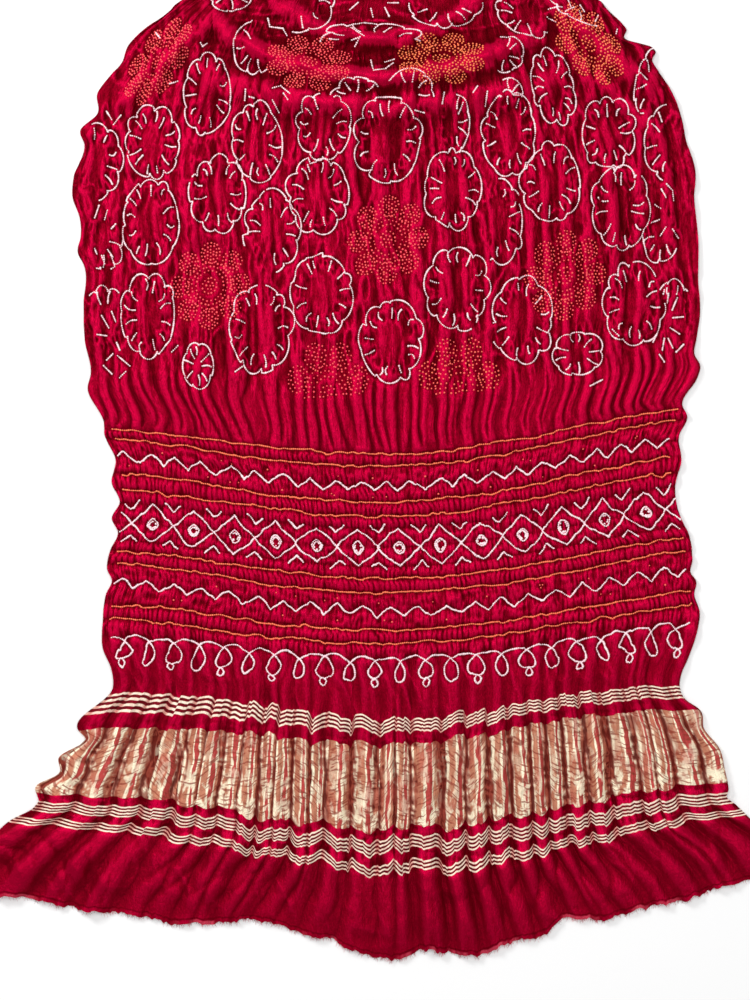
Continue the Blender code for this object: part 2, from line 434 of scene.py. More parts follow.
def fold_height(number, along):
    """The height of each point's fold at its crest."""
    height = np.zeros_like(along)
    for i, fold in enumerate(FOLDS):
        mine = number == i
        heights = (fold.top, fold.field, fold.strip, fold.tied, fold.zari, fold.hem)
        wave = np.sin(2 * np.pi * along[mine] / UNEVEN_LENGTH + UNEVEN_TURN * i)
        height[mine] = smooth_values(HEIGHT_KNOTS, heights, along[mine]) * (1 + UNEVEN_SHARE * wave)
    return height


def swag_height(x, y):
    """The height of the folds that cross the others."""
    height = np.zeros_like(x)
    for swag in SWAGS:
        span = swag.right_x - swag.left_x
        share = np.clip((x - swag.left_x) / span, 0, 1)
        rise = swag.right_y - swag.left_y
        line_y = swag.left_y + rise * share - 4 * swag.dip * share * (1 - share)
        slope = (rise - 4 * swag.dip * (1 - 2 * share)) / span
        distance = (y - line_y) / np.hypot(1, slope)
        distance = distance + 2.5 * noise(x / 26, y / 26, 21)
        fade = np.sqrt(np.maximum(np.sin(np.pi * share), 0))
        height += swag.height * fade * np.exp(-((distance / swag.width) ** 2))
    for x_px, y_px, wide_px, high_px, depth in PITS:
        pit_x, pit_y = from_photo(x_px, y_px)
        away = ((x - pit_x) / (wide_px * PIXEL)) ** 2 + ((y - pit_y) / (high_px * PIXEL)) ** 2
        height -= depth * np.exp(-away)
    return height


def plan(share, along, scalloped=True):
    """Where a point of the cloth lies on the surface, in the tables' millimetres."""
    left_x = row_value("left_x", along)
    right_x = row_value("right_x", along)
    left_y = row_value("left_y", along)
    right_y = row_value("right_y", along)
    dip = row_value("middle_y", along) - (left_y + right_y) / 2
    arch = np.maximum(np.sin(np.pi * share), 0)
    x = across(share, along, left_x, right_x)
    y = left_y + share * (right_y - left_y) + dip * arch ** row_value("bow", along)
    if scalloped:
        reach = np.array([fold.reach for fold in FOLDS])
        middles = (FOLD_STARTS[:-1] + FOLD_STARTS[1:]) / 2
        hem_share = np.clip((along - HEM_REACH_FROM) / (LENGTH - HEM_REACH_FROM), 0, 1)
        lag = row_value("scallop", along) * scallops(share, along)
        lag = lag + np.interp(share, middles, reach) * hem_share
        lag = lag + np.interp(along, *zip(*RUFFLE_STEPS)) * ruffles(share, along)
        y = y - lag * arch ** EDGE_FADE
        width = right_x - left_x
        x = x + edge_lobe(LEFT_EDGE, left_x, left_y) * np.exp(-share * width / EDGE_DEPTH)
        x = x + edge_lobe(RIGHT_EDGE, right_x, right_y) * np.exp(-(1 - share) * width / EDGE_DEPTH)
    return x, y


def edge_lobe(edge, x, y):
    """How far the photo's selvedge lies to the right of the rows' even ends."""
    high_px, place_px = np.array(edge, float).T
    y_px = ZERO_Y_PX - y / PIXEL
    seen = step_up(y_px, EDGE_FROM_PX, EDGE_FROM_PX + EDGE_FADE_PX)
    seen = seen * (1 - step_up(y_px, EDGE_TO_PX - EDGE_FADE_PX, EDGE_TO_PX))
    target = (smooth_values(high_px, place_px, y_px) - ZERO_X_PX) * PIXEL
    return np.clip(target - x, -EDGE_REACH, EDGE_REACH) * seen


def from_photo(x_px, y_px):
    """A pixel of the photo, in the tables' millimetres."""
    return (np.asarray(x_px, float) - ZERO_X_PX) * PIXEL, (ZERO_Y_PX - np.asarray(y_px, float)) * PIXEL


def on_motif(motif, over, up):
    """Places on a motif, from shares of its half sizes, in the tables' millimetres."""
    lean = math.radians(motif.lean)
    dx = over * motif.wide_px
    dy = -up * motif.high_px
    x = motif.x_px + dx * math.cos(lean) - dy * math.sin(lean)
    y = motif.y_px + dx * math.sin(lean) + dy * math.cos(lean)
    return from_photo(x, y)


# Tied dots

# The step from dot to dot along a line, in millimetres, and how much longer than wide a dot is.
DOT_PITCH = 2.1
DOT_STRETCH = 1.3


def beads(x, y, pitch=DOT_PITCH):
    """Points spaced evenly along a line of points, each with the line's direction there."""
    x = np.asarray(x, float)
    y = np.asarray(y, float)
    run = np.concatenate([[0], np.cumsum(np.hypot(np.diff(x), np.diff(y)))])
    count = max(2, int(round(run[-1] / pitch)) + 1)
    places = np.linspace(0, run[-1], count)
    dot_x = np.interp(places, run, x)
    dot_y = np.interp(places, run, y)
    way = np.stack([np.gradient(dot_x), np.gradient(dot_y)], axis=1)
    way /= np.maximum(np.linalg.norm(way, axis=1, keepdims=True), 0.001)
    return np.column_stack([dot_x, dot_y, way])


def round_dots(x, y):
    """Single dots, which have no direction."""
    return np.column_stack([x, y, np.zeros((len(x), 2))])


# The scalloped flowers: centre and half sizes in the photo's pixels, the arc of the
# outline that shows, in degrees from the right and anticlockwise, the number of rays, and the
# lean in degrees.
Flower = namedtuple("Flower", "x_px y_px wide_px high_px start end petals lean")
WHOLE = (0, 360)
FLOWERS = (
    Flower(153, 143, 28, 36, *WHOLE, 12, 0),
    Flower(207, 94, 25, 41, *WHOLE, 11, 0),
    Flower(151, 222, 29, 44, *WHOLE, 12, 0),
    Flower(218, 195, 29, 38, *WHOLE, 11, 0),
    Flower(257, 143, 27, 40, *WHOLE, 12, -8),
    Flower(318, 195, 31, 39, *WHOLE, 12, 0),
    Flower(322, 294, 32, 42, *WHOLE, 12, 0),
    Flower(272, 231, 28, 40, -80, 200, 11, 0),
    Flower(148, 316, 28, 43, *WHOLE, 12, 0),
    Flower(261, 330, 32, 45, *WHOLE, 12, 0),
    Flower(324, 127, 27, 34, 100, 425, 11, 0),
    Flower(388, 140, 34, 44, *WHOLE, 12, 0),
    Flower(391, 342, 32, 42, *WHOLE, 12, 0),
    Flower(453, 190, 29, 40, *WHOLE, 12, 0),
    Flower(457, 289, 32, 43, *WHOLE, 12, 0),
    Flower(509, 134, 27, 43, *WHOLE, 11, 0),
    Flower(551, 184, 30, 40, *WHOLE, 12, 0),
    Flower(553, 88, 22, 38, *WHOLE, 12, -14),
    Flower(608, 134, 27, 36, *WHOLE, 11, 0),
    Flower(620, 209, 29, 44, *WHOLE, 12, 0),
    Flower(499, 222, 25, 41, -110, 90, 11, 0),
    Flower(634, 304, 30, 42, *WHOLE, 12, 0),
    Flower(522, 320, 31, 44, *WHOLE, 12, 0),
    Flower(256, 48, 23, 28, 100, 300, 10, 0),
    Flower(444, 4, 37, 25, 180, 360, 11, 0),
    Flower(524, 16, 30, 20, 165, 350, 10, 30),
    Flower(504, 56, 19, 18, -110, 100, 8, 0),
    Flower(454, 124, 16, 30, -70, 80, 10, 0),
    Flower(95, 162, 27, 39, -80, 95, 11, 0),
    Flower(105, 240, 19, 33, -115, 5, 10, 0),
    Flower(105, 319, 21, 33, 50, 135, 10, 0),
    Flower(669, 143, 27, 38, 97, 255, 11, 0),
    Flower(661, 234, 20, 30, 185, 325, 10, 0),
    Flower(650, 84, 16, 34, 100, 265, 10, 12),
    Flower(672, 319, 21, 40, 45, 128, 10, 0),
    Flower(198, 366, 16, 23, *WHOLE, 8, 0),
    Flower(578, 354, 26, 23, *WHOLE, 9, 0),
    Flower(371, 43, 51, 21, 4, 176, 12, 0),
    Flower(298, -4, 37, 39, 262, 352, 10, 0),
    Flower(509, 97, 15, 19, 0, 115, 8, 0),
    Flower(410, 96, 24, 25, -5, 150, 10, 0),
    Flower(357, 100, 26, 21, 35, 170, 10, 0),
    Flower(231, -7, 23, 20, 195, 345, 9, 0),
    Flower(578, 6, 34, 17, 200, 330, 9, 30),
)
# How deep a petal's notch is, as a share of the radius, and how many petals there are to a ray.
PETAL_DEPTH = 0.1
PETAL_SHARE = 0.78
# Where a ray ends outside, as a share of the radius, and how long it is in pixels.
RAY_OUTER = 0.83
RAY_LENGTH_PX = 9.5
# How much of an outline is left out in short breaks.
BREAKS = 0.1


def flower_dots(flower, rng):
    """The beaded outline of a flower, and the short rays that stand free inside it."""
    start, end = math.radians(flower.start), math.radians(flower.end)
    turn = rng.uniform(0, 2 * math.pi)
    petals = int(round(flower.petals * PETAL_SHARE))
    edges = np.sort((np.arange(petals) + rng.uniform(-0.32, 0.32, petals)) / petals)
    bulge = rng.uniform(-0.08, 0.08, petals)
    depth = PETAL_DEPTH * rng.uniform(0.2, 1.7, petals)

    def place(angle, size):
        return on_motif(flower, size * np.cos(angle), size * np.sin(angle))

    angle = np.linspace(start, end, 260)
    turned = ((angle - turn) / (2 * math.pi)) % 1
    number = np.searchsorted(edges, turned, side="right") - 1
    low = edges[number]
    high = np.where(number == petals - 1, edges[0] + 1, edges[(number + 1) % petals])
    petal = ((turned - low) % 1) / np.where(number < 0, edges[0] + 1 - edges[-1], high - low)
    round_out = np.sin(np.pi * np.clip(petal, 0, 1))
    size = 1 - depth[number] * (1 - round_out ** 0.7) + bulge[number] * round_out
    outline = beads(*place(angle, size))
    run = np.arange(len(outline)) / 7
    kept = noise(run, run * 0 + rng.uniform(0, 90), 45) > -1 + 2 * BREAKS * 0.75
    lines = [outline[kept]]
    for i in range(flower.petals):
        notch = turn + 2 * math.pi * (i + rng.uniform(-0.28, 0.28)) / flower.petals
        inside = (notch - start) % (2 * math.pi) < end - start or end - start > 6.2
        if not inside:
            continue
        radius = math.hypot(flower.wide_px * math.cos(notch), flower.high_px * math.sin(notch))
        outer = RAY_OUTER + rng.uniform(-0.05, 0.04)
        inner = outer - RAY_LENGTH_PX * rng.uniform(0.65, 1.2) / radius
        bend = rng.uniform(-0.07, 0.07)
        sizes = np.linspace(outer, max(inner, 0.3), 12)
        bends = notch + bend * np.sin(np.linspace(0, np.pi, 12)) + rng.uniform(-0.05, 0.05)
        lines.append(beads(*place(bends, sizes)))
    return np.concatenate(lines)


# The dotted rosettes: centre and half sizes in pixels, how far down they are dotted
# (1 is the whole rosette, 0 the upper half), their lean in degrees and how yellow they are.
Rosette = namedtuple("Rosette", "x_px y_px wide_px high_px lower lean yellow")
ROSETTES = (
    Rosette(210, 286, 38, 42, 1, 22, 0),
    Rosette(388, 240, 38, 43, 1, 22, 0.05),
    Rosette(565, 276, 38, 44, 1, 22, 0.12),
    Rosette(159, 62, 22, 48, 1, 34, 0.05),
    Rosette(309, 64, 42, 27, 1, 5, 0.08),
    Rosette(441, 60, 43, 26, 1, -3, 0.6),
    Rosette(588, 45, 26, 45, 1, -36, 0.5),
    Rosette(328, 396, 41, 54, 0, 0, 0),
    Rosette(459, 392, 41, 54, 0, 0, 0.25),
)
ROSETTE_PETALS = 8
# Rings of dots: radius as a share of the rosette's half size, and the number of dots.
CORE_RINGS = ((0.0, 1), (0.09, 6), (0.19, 12), (0.36, 22), (0.46, 30), (0.56, 36))
PETAL_CENTRE = 0.79
PETAL_RINGS = ((0.0, 1), (0.085, 6), (0.17, 12), (0.245, 17))


def rosette_dots(rosette, rng):
    """The rings of dots in a rosette's middle and in its round petals."""
    spots = []
    for radius, count in CORE_RINGS:
        angle = 2 * np.pi * (np.arange(count) + 0.3) / count
        spots.append(np.column_stack([radius * np.cos(angle), radius * np.sin(angle)]))
    for i in range(ROSETTE_PETALS):
        middle = 2 * np.pi * (i + 0.5) / ROSETTE_PETALS
        for radius, count in PETAL_RINGS:
            angle = 2 * np.pi * np.arange(count) / count + middle
            x = PETAL_CENTRE * math.cos(middle) + radius * np.cos(angle)
            y = PETAL_CENTRE * math.sin(middle) + radius * np.sin(angle)
            spots.append(np.column_stack([x, y]))
    spots = np.concatenate(spots)
    spots = spots[spots[:, 1] > -0.04 - 2 * rosette.lower]
    spots += rng.normal(0, 0.008, spots.shape)
    return round_dots(*on_motif(rosette, spots[:, 0], spots[:, 1]))


# Rows of tied lines: the margin that stays plain at each selvedge, then the teeth, diamonds,
# rings, ticks and loops. Widths and places across are shares of the cloth's width, and heights
# and the ticks' distance from the row's middle are in millimetres.
PLAIN_MARGIN = 0.012
TEETH = 21.5
FIRST_TOOTH = 0.018
TOOTH_HEIGHT = 5.6
DIAMONDS = 13
DIAMOND_HIGH = 20.2
FIRST_DIAMOND = 0.064
LAST_DIAMOND = 0.938
SMALL_RING = (0.0062, 4.4)
LARGE_RING = (0.0092, 6.6)
SMALL_RING_KEPT = 0.62
TICK_TIP = 15.5
TICK_HIGH = 7.5
TICK_WIDE = 0.0125
LOOPS = 23
LOOP_HIGH = 14.6
LOOP_CURL = 2.75
RINGED_SHARE = 0.72
RING_WIDE = 0.0056
RING_HIGH = 4.6
LOOP_LEAN = 0.014


def row_beads(share, along, pitch=DOT_PITCH):
    """A beaded line across the cloth, a little unsteady as tied lines are."""
    wobble = 1.5 * noise(share * 42, along / 9, 41) + 1.1 * noise(share * 110, along / 5, 42)
    wobble = wobble + 0.9 * np.round(1.3 * noise(share * 31, along / 9, 49))
    return beads(*plan(share, along + wobble, scalloped=False), pitch)


def orange_line(along):
    """One orange line, straight across the cloth."""
    share = np.linspace(PLAIN_MARGIN, 1 - PLAIN_MARGIN, 700)
    return row_beads(share, np.full(700, float(along)), 2.2)


def zigzag(along):
    """One zigzag, with teeth of uneven height."""
    share = np.linspace(0.006, 0.986, 900)
    place = (share - FIRST_TOOTH) * TEETH + 0.12 * noise(share * 19, share * 0 + along, 46)
    tooth = 1 - np.abs((place + 0.5) % 1 - 0.5) * 4
    uneven = 1 + 0.16 * noise(share * 23, share * 0 + along, 47)
    return row_beads(share, along - TOOTH_HEIGHT * tooth * uneven)


def single_dots(along):
    """Single dots beside the teeth of a zigzag and between the other lines."""
    rng = np.random.default_rng(int(along))
    tooth = np.arange(1, int(TEETH))
    share = FIRST_TOOTH + (tooth + 0.5 * (tooth % 2)) / TEETH
    near = along + np.where(tooth % 2 == 0, 11.5, -9.0)
    kept = rng.uniform(0, 1, len(tooth)) < 0.75
    return round_dots(*plan(share[kept], near[kept], scalloped=False))


def specks(along, count=10):
    """Tiny dots that the strings left on both sides of a zigzag."""
    rng = np.random.default_rng(int(along) + 1)
    share = rng.uniform(0.02, 0.98, count)
    near = along + rng.choice((-1, 1), count) * rng.uniform(8.5, 13.0, count)
    return round_dots(*plan(share, near, scalloped=False))


def squared_ring(share, along, wide, high):
    """A small ring of dots that is nearly a square, standing on its corner."""
    angle = np.linspace(0, 2 * np.pi, 80)
    over = np.sign(np.cos(angle)) * np.abs(np.cos(angle)) ** 1.3
    down = np.sign(np.sin(angle)) * np.abs(np.sin(angle)) ** 1.3
    return row_beads(share + wide * over, along + high * down)[:-1]


def diamond_row():
    """The row of diamonds, each round two small rings, with ticks above and below where two
    diamonds meet, and an open end at each selvedge."""
    pitch = (LAST_DIAMOND - FIRST_DIAMOND) / (DIAMONDS - 1)
    rng = np.random.default_rng(8)
    lines = []
    turn = np.linspace(0, 1, 41)
    for i in range(DIAMONDS):
        middle = FIRST_DIAMOND + i * pitch
        for side in (1, -1):
            lean = rng.uniform(-0.0025, 0.0025)
            corner = 1 - np.abs(2 * turn - 1) ** rng.uniform(1.0, 1.25)
            over = pitch / 2 * corner * side + lean * np.sin(np.pi * turn)
            lines.append(row_beads(middle + over, DIAMOND_LINE + DIAMOND_HIGH * (1 - 2 * turn)))
        lines.append(squared_ring(middle, DIAMOND_LINE, *LARGE_RING))
        inner = squared_ring(middle, DIAMOND_LINE, *SMALL_RING)
        lines.append(inner[rng.uniform(0, 1, len(inner)) < SMALL_RING_KEPT])
    for i in range(DIAMONDS + 1):
        crossing = FIRST_DIAMOND + (i - 0.5) * pitch
        for side in (1, -1):
            over = np.linspace(-1, 1, 21)
            tip = rng.uniform(-0.25, 0.25)
            tick = DIAMOND_LINE + side * (TICK_TIP + TICK_HIGH * np.abs(over - tip))
            lines.append(row_beads(crossing + TICK_WIDE * over, tick))
    for end, way in ((FIRST_DIAMOND - pitch / 2, -1), (LAST_DIAMOND + pitch / 2, 1)):
        for side in (1, -1):
            over = np.linspace(0, 0.019, 12)
            steep = side * DIAMOND_HIGH / (pitch / 2)
            lines.append(row_beads(end + way * over, DIAMOND_LINE + steep * over))
    return np.concatenate(lines)


def loop_row():
    """One running line that curls into a hanging loop at even steps. Every second loop is
    shorter, and carries a small ring at its foot."""
    pitch = (1 - 2 * PLAIN_MARGIN) / LOOPS
    turn = np.linspace(0, 2 * np.pi * LOOPS, LOOPS * 70)
    number = np.clip((turn / (2 * np.pi)).astype(int), 0, LOOPS - 1)
    ringed = number % 2 == 0
    half = pitch / (2 * np.pi)
    curl = LOOP_CURL + 0.55 * ringed + 0.45 * noise(number * 1.3, number * 0 + 0.5, 43)
    high = LOOP_HIGH * (1 + 0.12 * noise(turn / 9, turn * 0 + 1.5, 44))
    low = np.cos(turn) < 0
    hang = np.where(low & ringed, RINGED_SHARE, 1.0)
    foot_lean = LOOP_LEAN * (2 * (number + 0.5) / LOOPS - 1)
    lean = foot_lean + 0.0035 * noise(number * 1.7, number * 0 + 2.5, 48)
    lean = lean * np.where(low, -np.cos(turn), 0)
    share = PLAIN_MARGIN + half * turn + half * curl * np.sin(turn) + lean
    along = LOOP_LINE - high * np.cos(turn) * hang
    lines = [row_beads(share, along)]
    for i in range(0, LOOPS, 2):
        middle = PLAIN_MARGIN + (i + 0.5) * pitch + LOOP_LEAN * (2 * (i + 0.5) / LOOPS - 1)
        foot = LOOP_LINE + LOOP_HIGH * RINGED_SHARE + RING_HIGH
        lines.append(squared_ring(middle, foot, RING_WIDE, RING_HIGH))
    return np.concatenate(lines)


# Short stray lines of dots where a motif is only partly tied: pixels from one end to the other.
STRAYS = (
    (104, 366, 112, 374), (118, 356, 130, 366), (120, 378, 126, 372), (112, 60, 116, 66),
    (170, 84, 178, 82), (156, 33, 160, 38), (590, 386, 602, 380), (172, 352, 178, 346),
    (236, 372, 244, 366), (473, 94, 477, 88), (487, 93, 485, 107), (612, 330, 618, 336),
    (201, 44, 203, 47), (203, 47, 207, 44), (246, 91, 245, 101), (250, 98, 254, 99),
    (268, 19, 270, 27), (270, 27, 283, 29), (283, 29, 287, 36), (273, 90, 281, 87),
    (281, 87, 290, 95), (284, 95, 288, 101), (273, 102, 279, 113), (351, 29, 364, 38),
    (352, 41, 360, 39), (360, 39, 355, 47), (371, 61, 373, 71), (374, 73, 386, 71),
    (386, 70, 393, 64), (394, 60, 385, 63), (350, 10, 358, 3), (371, 9, 373, 17),
    (385, 8, 389, 16), (388, 3, 398, 3), (442, 105, 444, 94), (415, 112, 424, 114),
    (548, 11, 561, 9), (547, 18, 555, 23), (567, 0, 570, 8), (580, 6, 584, 12),
    (598, 16, 595, 22), (617, 30, 616, 34), (107, 112, 112, 120), (114, 125, 121, 116),
    (99, 206, 95, 218), (108, 211, 105, 220), (116, 225, 112, 229), (95, 249, 97, 254),
    (108, 250, 113, 257), (102, 256, 105, 264), (102, 316, 109, 328), (98, 335, 107, 336),
    (112, 312, 116, 322), (113, 354, 107, 360), (117, 343, 120, 350), (666, 185, 672, 191),
    (672, 191, 673, 201), (661, 190, 665, 198), (655, 205, 660, 209), (651, 223, 659, 220),
    (660, 236, 665, 228), (672, 230, 678, 238), (668, 294, 667, 303), (677, 298, 672, 310),
    (673, 318, 683, 317), (670, 328, 679, 334), (657, 334, 653, 342), (664, 339, 662, 350),
    (668, 339, 672, 348), (659, 355, 664, 362), (676, 352, 683, 345),
)


def stray_dots():
    """The stray lines' dots."""
    return np.concatenate([beads(*from_photo([x0, x1], [y0, y1])) for x0, y0, x1, y1 in STRAYS])


# The sizes of dots, as a share of the plain one, the tone of the coloured ones (0 is orange-red
# and 1 yellow), and how much the undyed lines swell and thin.
FLOWER_DOT = 1.0
ROW_DOT = 1.12
SINGLE_DOT = 1.05
SPECK = 0.85
LINE_DOT = 1.04
ROSETTE_DOT = 1.12
LINE_TONE = 0.5
SPECK_TONE = 0.25
THICK_AND_THIN = 0.25


def gathered(groups):
    """Joins groups of dots, and gives every dot the size of its group."""
    dots = np.concatenate([group for group, size in groups])
    sizes = np.concatenate([np.full(len(group), size) for group, size in groups])
    return dots, sizes


def tied_dots():
    """The undyed dots with their sizes, and the coloured ones with their sizes and their tone,
    from 0, orange-red, to 1, yellow."""
    rng = np.random.default_rng(5)
    undyed = [(flower_dots(flower, rng), FLOWER_DOT) for flower in FLOWERS]
    undyed += [(zigzag(along), ROW_DOT) for along in ZIGZAGS]
    undyed += [(diamond_row(), ROW_DOT), (loop_row(), ROW_DOT), (stray_dots(), FLOWER_DOT)]
    coloured = [(orange_line(along), LINE_DOT) for along in ORANGE_LINES]
    tones = [np.full(len(line), LINE_TONE) for line, size in coloured]
    singles = [(single_dots(along), SINGLE_DOT) for along in ZIGZAGS]
    singles += [(specks(along), SPECK) for along in ZIGZAGS]
    tones += [np.full(len(spots), SPECK_TONE) for spots, size in singles]
    coloured += singles
    for rosette in ROSETTES:
        spots = rosette_dots(rosette, rng)
        coloured.append((spots, ROSETTE_DOT))
        tones.append(np.clip(rosette.yellow + rng.normal(0, 0.08, len(spots)), 0, 1))
    white, white_sizes = gathered(undyed)
    uneven = 1 + THICK_AND_THIN * noise(white[:, 0] / 8, white[:, 1] / 8, 57)
    return (white, white_sizes * uneven), gathered(coloured), np.concatenate(tones)


# A map of the ties, one cell to a millimetre, from which the cloth takes its pinched lines. The
# blur of a line and of the cloth round it, in millimetres, and the fullest value of each.
MAP_LEFT = -480
MAP_TOP = 590
MAP_WIDE = 960
MAP_HIGH = 1200
LINE_BLUR = 1.9
LINE_FULL = 0.075
WIDE_BLUR = 9.0
WIDE_FULL = 0.035


def bell(sigma, reach):
    """The weights of a blur."""
    kernel = np.exp(-0.5 * (np.arange(-reach, reach + 1) / sigma) ** 2)
    return kernel / kernel.sum()


def blurred(grid, sigma):
    """A blur along both axes of a map."""
    kernel = bell(sigma, int(3 * sigma) + 1)
    for axis in (0, 1):
        grid = np.apply_along_axis(lambda line: np.convolve(line, kernel, mode="same"), axis, grid)
    return grid


def tie_map(dots):
    """The number of dots in each cell of the map."""
    grid = np.zeros((MAP_HIGH, MAP_WIDE))
    column = np.clip((dots[:, 0] - MAP_LEFT).astype(int), 0, MAP_WIDE - 1)
    line = np.clip((MAP_TOP - dots[:, 1]).astype(int), 0, MAP_HIGH - 1)
    np.add.at(grid, (line, column), 1)
    return grid


def read_map(grid, x, y):
    """The map's value at points, with straight runs between its cells."""
    gx = np.clip(x - MAP_LEFT - 0.5, 0, MAP_WIDE - 2)
    gy = np.clip(MAP_TOP - y - 0.5, 0, MAP_HIGH - 2)
    ix = gx.astype(int)
    iy = gy.astype(int)
    return between_cells(grid, ix, iy, gx - ix, gy - iy)


def border_relief(share, along):
    """The pleats of the gold border, from 0 in a crease to 1 on a crest, with flat faces."""
    place = border_pleat(share, along) + 0.1 * noise(share * 30, along / 30, 91)
    return np.abs(np.sin(np.pi * place)) ** 0.55


def pleats(share, along, kind):
    """The height of uneven narrow pleats that run down the cloth, in millimetres."""
    place = share * kind.count + kind.wander * noise(share * kind.count / 5, along / 85, kind.seed)
    place = place + 0.3 * noise(share * kind.count, along / 38, kind.seed + 1)
    strength = 0.62 + 0.38 * noise(share * kind.count / 2 + 40, along / 55, kind.seed + 2)
    return kind.high * (strength * np.abs(np.sin(np.pi * place)) ** 0.85) ** kind.blunt


def flower_relief(x, y):
    """Inside a tied flower: a smooth puffed middle, and creases between its rays."""
    height = np.zeros_like(x)
    calm = np.zeros_like(x)
    ruffled = np.zeros_like(x)
    for flower in FLOWERS:
        cx, cy = from_photo(flower.x_px, flower.y_px)
        wide = flower.wide_px * PIXEL
        high = flower.high_px * PIXEL
        near = (np.abs(x - cx) < 1.1 * wide) & (np.abs(y - cy) < 1.1 * high)
        dx = (x[near] - cx) / wide
        dy = (y[near] - cy) / high
        radius = np.hypot(dx, dy)
        angle = np.arctan2(dy, dx)
        middle = np.clip(1 - (radius / 0.55) ** 2, 0, 1)
        ring = np.sin(np.pi * np.clip((radius - 0.42) / 0.6, 0, 1))
        crease = np.abs(np.cos(flower.petals * angle / 2 + 0.7)) ** 5
        height[near] += 2.4 * middle - 1.1 * ring * crease + 0.7 * ring
        calm[near] = np.maximum(calm[near], middle)
        ruffled[near] = np.maximum(ruffled[near], ring)
    return height, calm, ruffled


def puckers(share, along):
    """The finest gathers, between the tied lines: they change step at each line, and are
    smooth blisters where the lines are far apart."""
    lines = sorted(ORANGE_LINES + ZIGZAGS + TICK_LINES + (DIAMOND_LINE, LOOP_LINE - LOOP_HIGH_MEAN))
    number = np.searchsorted(lines, along)
    edges = np.array([550] + lines + [840], float)
    low = edges[number]
    high = edges[number + 1]
    puff = np.sin(np.pi * np.clip((along - low) / (high - low), 0, 1)) ** 0.7
    place = share * 112 + 0.37 * number + 0.8 * noise(share * 34, along / 14, 61)
    ripple = np.abs(np.sin(np.pi * place)) ** 0.8
    strength = 0.62 + 0.38 * noise(share * 60, along / 8, 62)
    blister = noise(share * 74, along / 7.5, 63) + 0.5 * noise(share * 130, along / 5, 64)
    wide = np.clip((high - low - 14.5) / 5, 0, 1)
    return puff, ripple * strength * (1 - 0.45 * wide), blister * wide


def creased(x, y, wide, high, seed):
    """Sharp ridges and creases about as wide and as long as given, from -1 to 1."""
    bent_x = x + 0.7 * wide * noise(x / (3 * wide), y / (3 * wide), seed + 50)
    bent_y = y + 0.9 * wide * noise(x / (3 * wide), y / (3 * wide), seed + 51)
    return 1 - 2 * np.abs(noise(bent_x / wide, bent_y / high, seed))


def cloth_height(share, along, x, y, ties):
    """The height of the cloth's face above the surface, in millimetres."""
    right = np.tanh((share - HEM_MIDDLE) / 0.2)
    lean = HEM_LEAN * right + 0.02 * noise(share * 7, along / 400, 94)
    lean = lean * np.clip(along - 1018, 0, 200) / 100
    number, rise = fold_rise(share - lean, along)
    folds = fold_height(number, along) * rise
    field = 1 - step_up(along, *FIELD_END)
    strip = between(along, *STRIP)
    tied = between(along, *TIED_ROWS)
    gather = between(along, *GATHER)
    zari = between(along, *BORDER)
    hem = step_up(along, *HEM_START)
    broken = 0.5 + 0.5 * noise(share * 16, along / 75, 12)
    hem_wave = np.clip(0.5 + 0.7 * noise(share * 13, along / 90, 16), 0.15, 1)
    folds = folds * (1 - field * (1 - broken)) * (1 - FLATTER_TIED * tied)
    folds = folds * (1 - FLATTER_STRIP * strip) * (1 - FLATTER_GATHER * gather)
    folds = folds * (1 - FLATTER_BORDER * zari)
    folds = folds * (1 - hem * (1 - hem_wave))

    near_ties = read_map(ties["wide"], x, y)
    pinch = read_map(ties["line"], x, y)
    flowers, calm, ruffled = flower_relief(x, y)
    cowl = np.exp(-((x / COWL_WIDE) ** 2)) * step_up(y, COWL_FROM, COWL_FROM + 40)
    ridges = creased(x, y, 9.5, 30, 73) * (1 - cowl) + creased(x, y, 34, 9, 77) * cowl
    sharp = creased(x, y, 5.2, 12, 74)
    tiny = creased(x, y, 3.4, 6.0, 75)
    crumple = 2.2 * ridges + 0.7 * sharp + ruffled * (1.1 * sharp + 0.9 * tiny)
    crumple = crumple * (1 - 0.8 * calm) * (0.75 + 0.25 * near_ties)
    detail = field * (crumple + pleats(share, along, LONG_PLEATS) * (1 - cowl) + flowers)

    slant = STRIP_SLANT * (np.exp(-share / 0.2) - np.exp(-(1 - share) / 0.2)) * (566 - along) / 60
    narrow = pleats(share + slant, along, STRIP_PLEATS)
    narrow = narrow + pleats(share + slant, along, STRIP_FINE_PLEATS)
    detail += strip * (narrow + 0.3 * sharp)
    puff, ripple, blister = puckers(share, along)
    detail += tied * (1.5 * puff + 2.9 * ripple * (0.5 + 0.5 * puff) + 1.6 * blister * puff)
    relief = border_relief(share, along)
    facets = creased(x + 0.25 * y, y, 13, 34, 88)
    detail += gather * (1.9 * relief + 1.5 * facets + pleats(share, along, GATHER_PLEATS))
    wrinkles = creased(x + 0.35 * y, y, 16, 5.5, 76)
    border = 3.6 * relief + pleats(share, along, BORDER_PLEATS)
    detail += zari * (border + 0.4 * sharp + 0.7 * wrinkles)
    hem_folds = 4.2 * border_relief(share - lean, along) + pleats(share - lean, along, HEM_PLEATS)
    detail += hem * (hem_folds + 1.2 * creased(x + 0.4 * y, y, 21, 34, 96) + 0.3 * sharp)
    detail -= 1.7 * pinch
    top = LIFT + folds + SWAG_SHARE * swag_height(x, y) + detail
    top = top * (1 - 0.5 * step_up(along, LENGTH - HEM_THINS_FROM, LENGTH))
    return LOWEST_TOP + np.logaddexp(0, (top - LOWEST_TOP) * 1.6) / 1.6


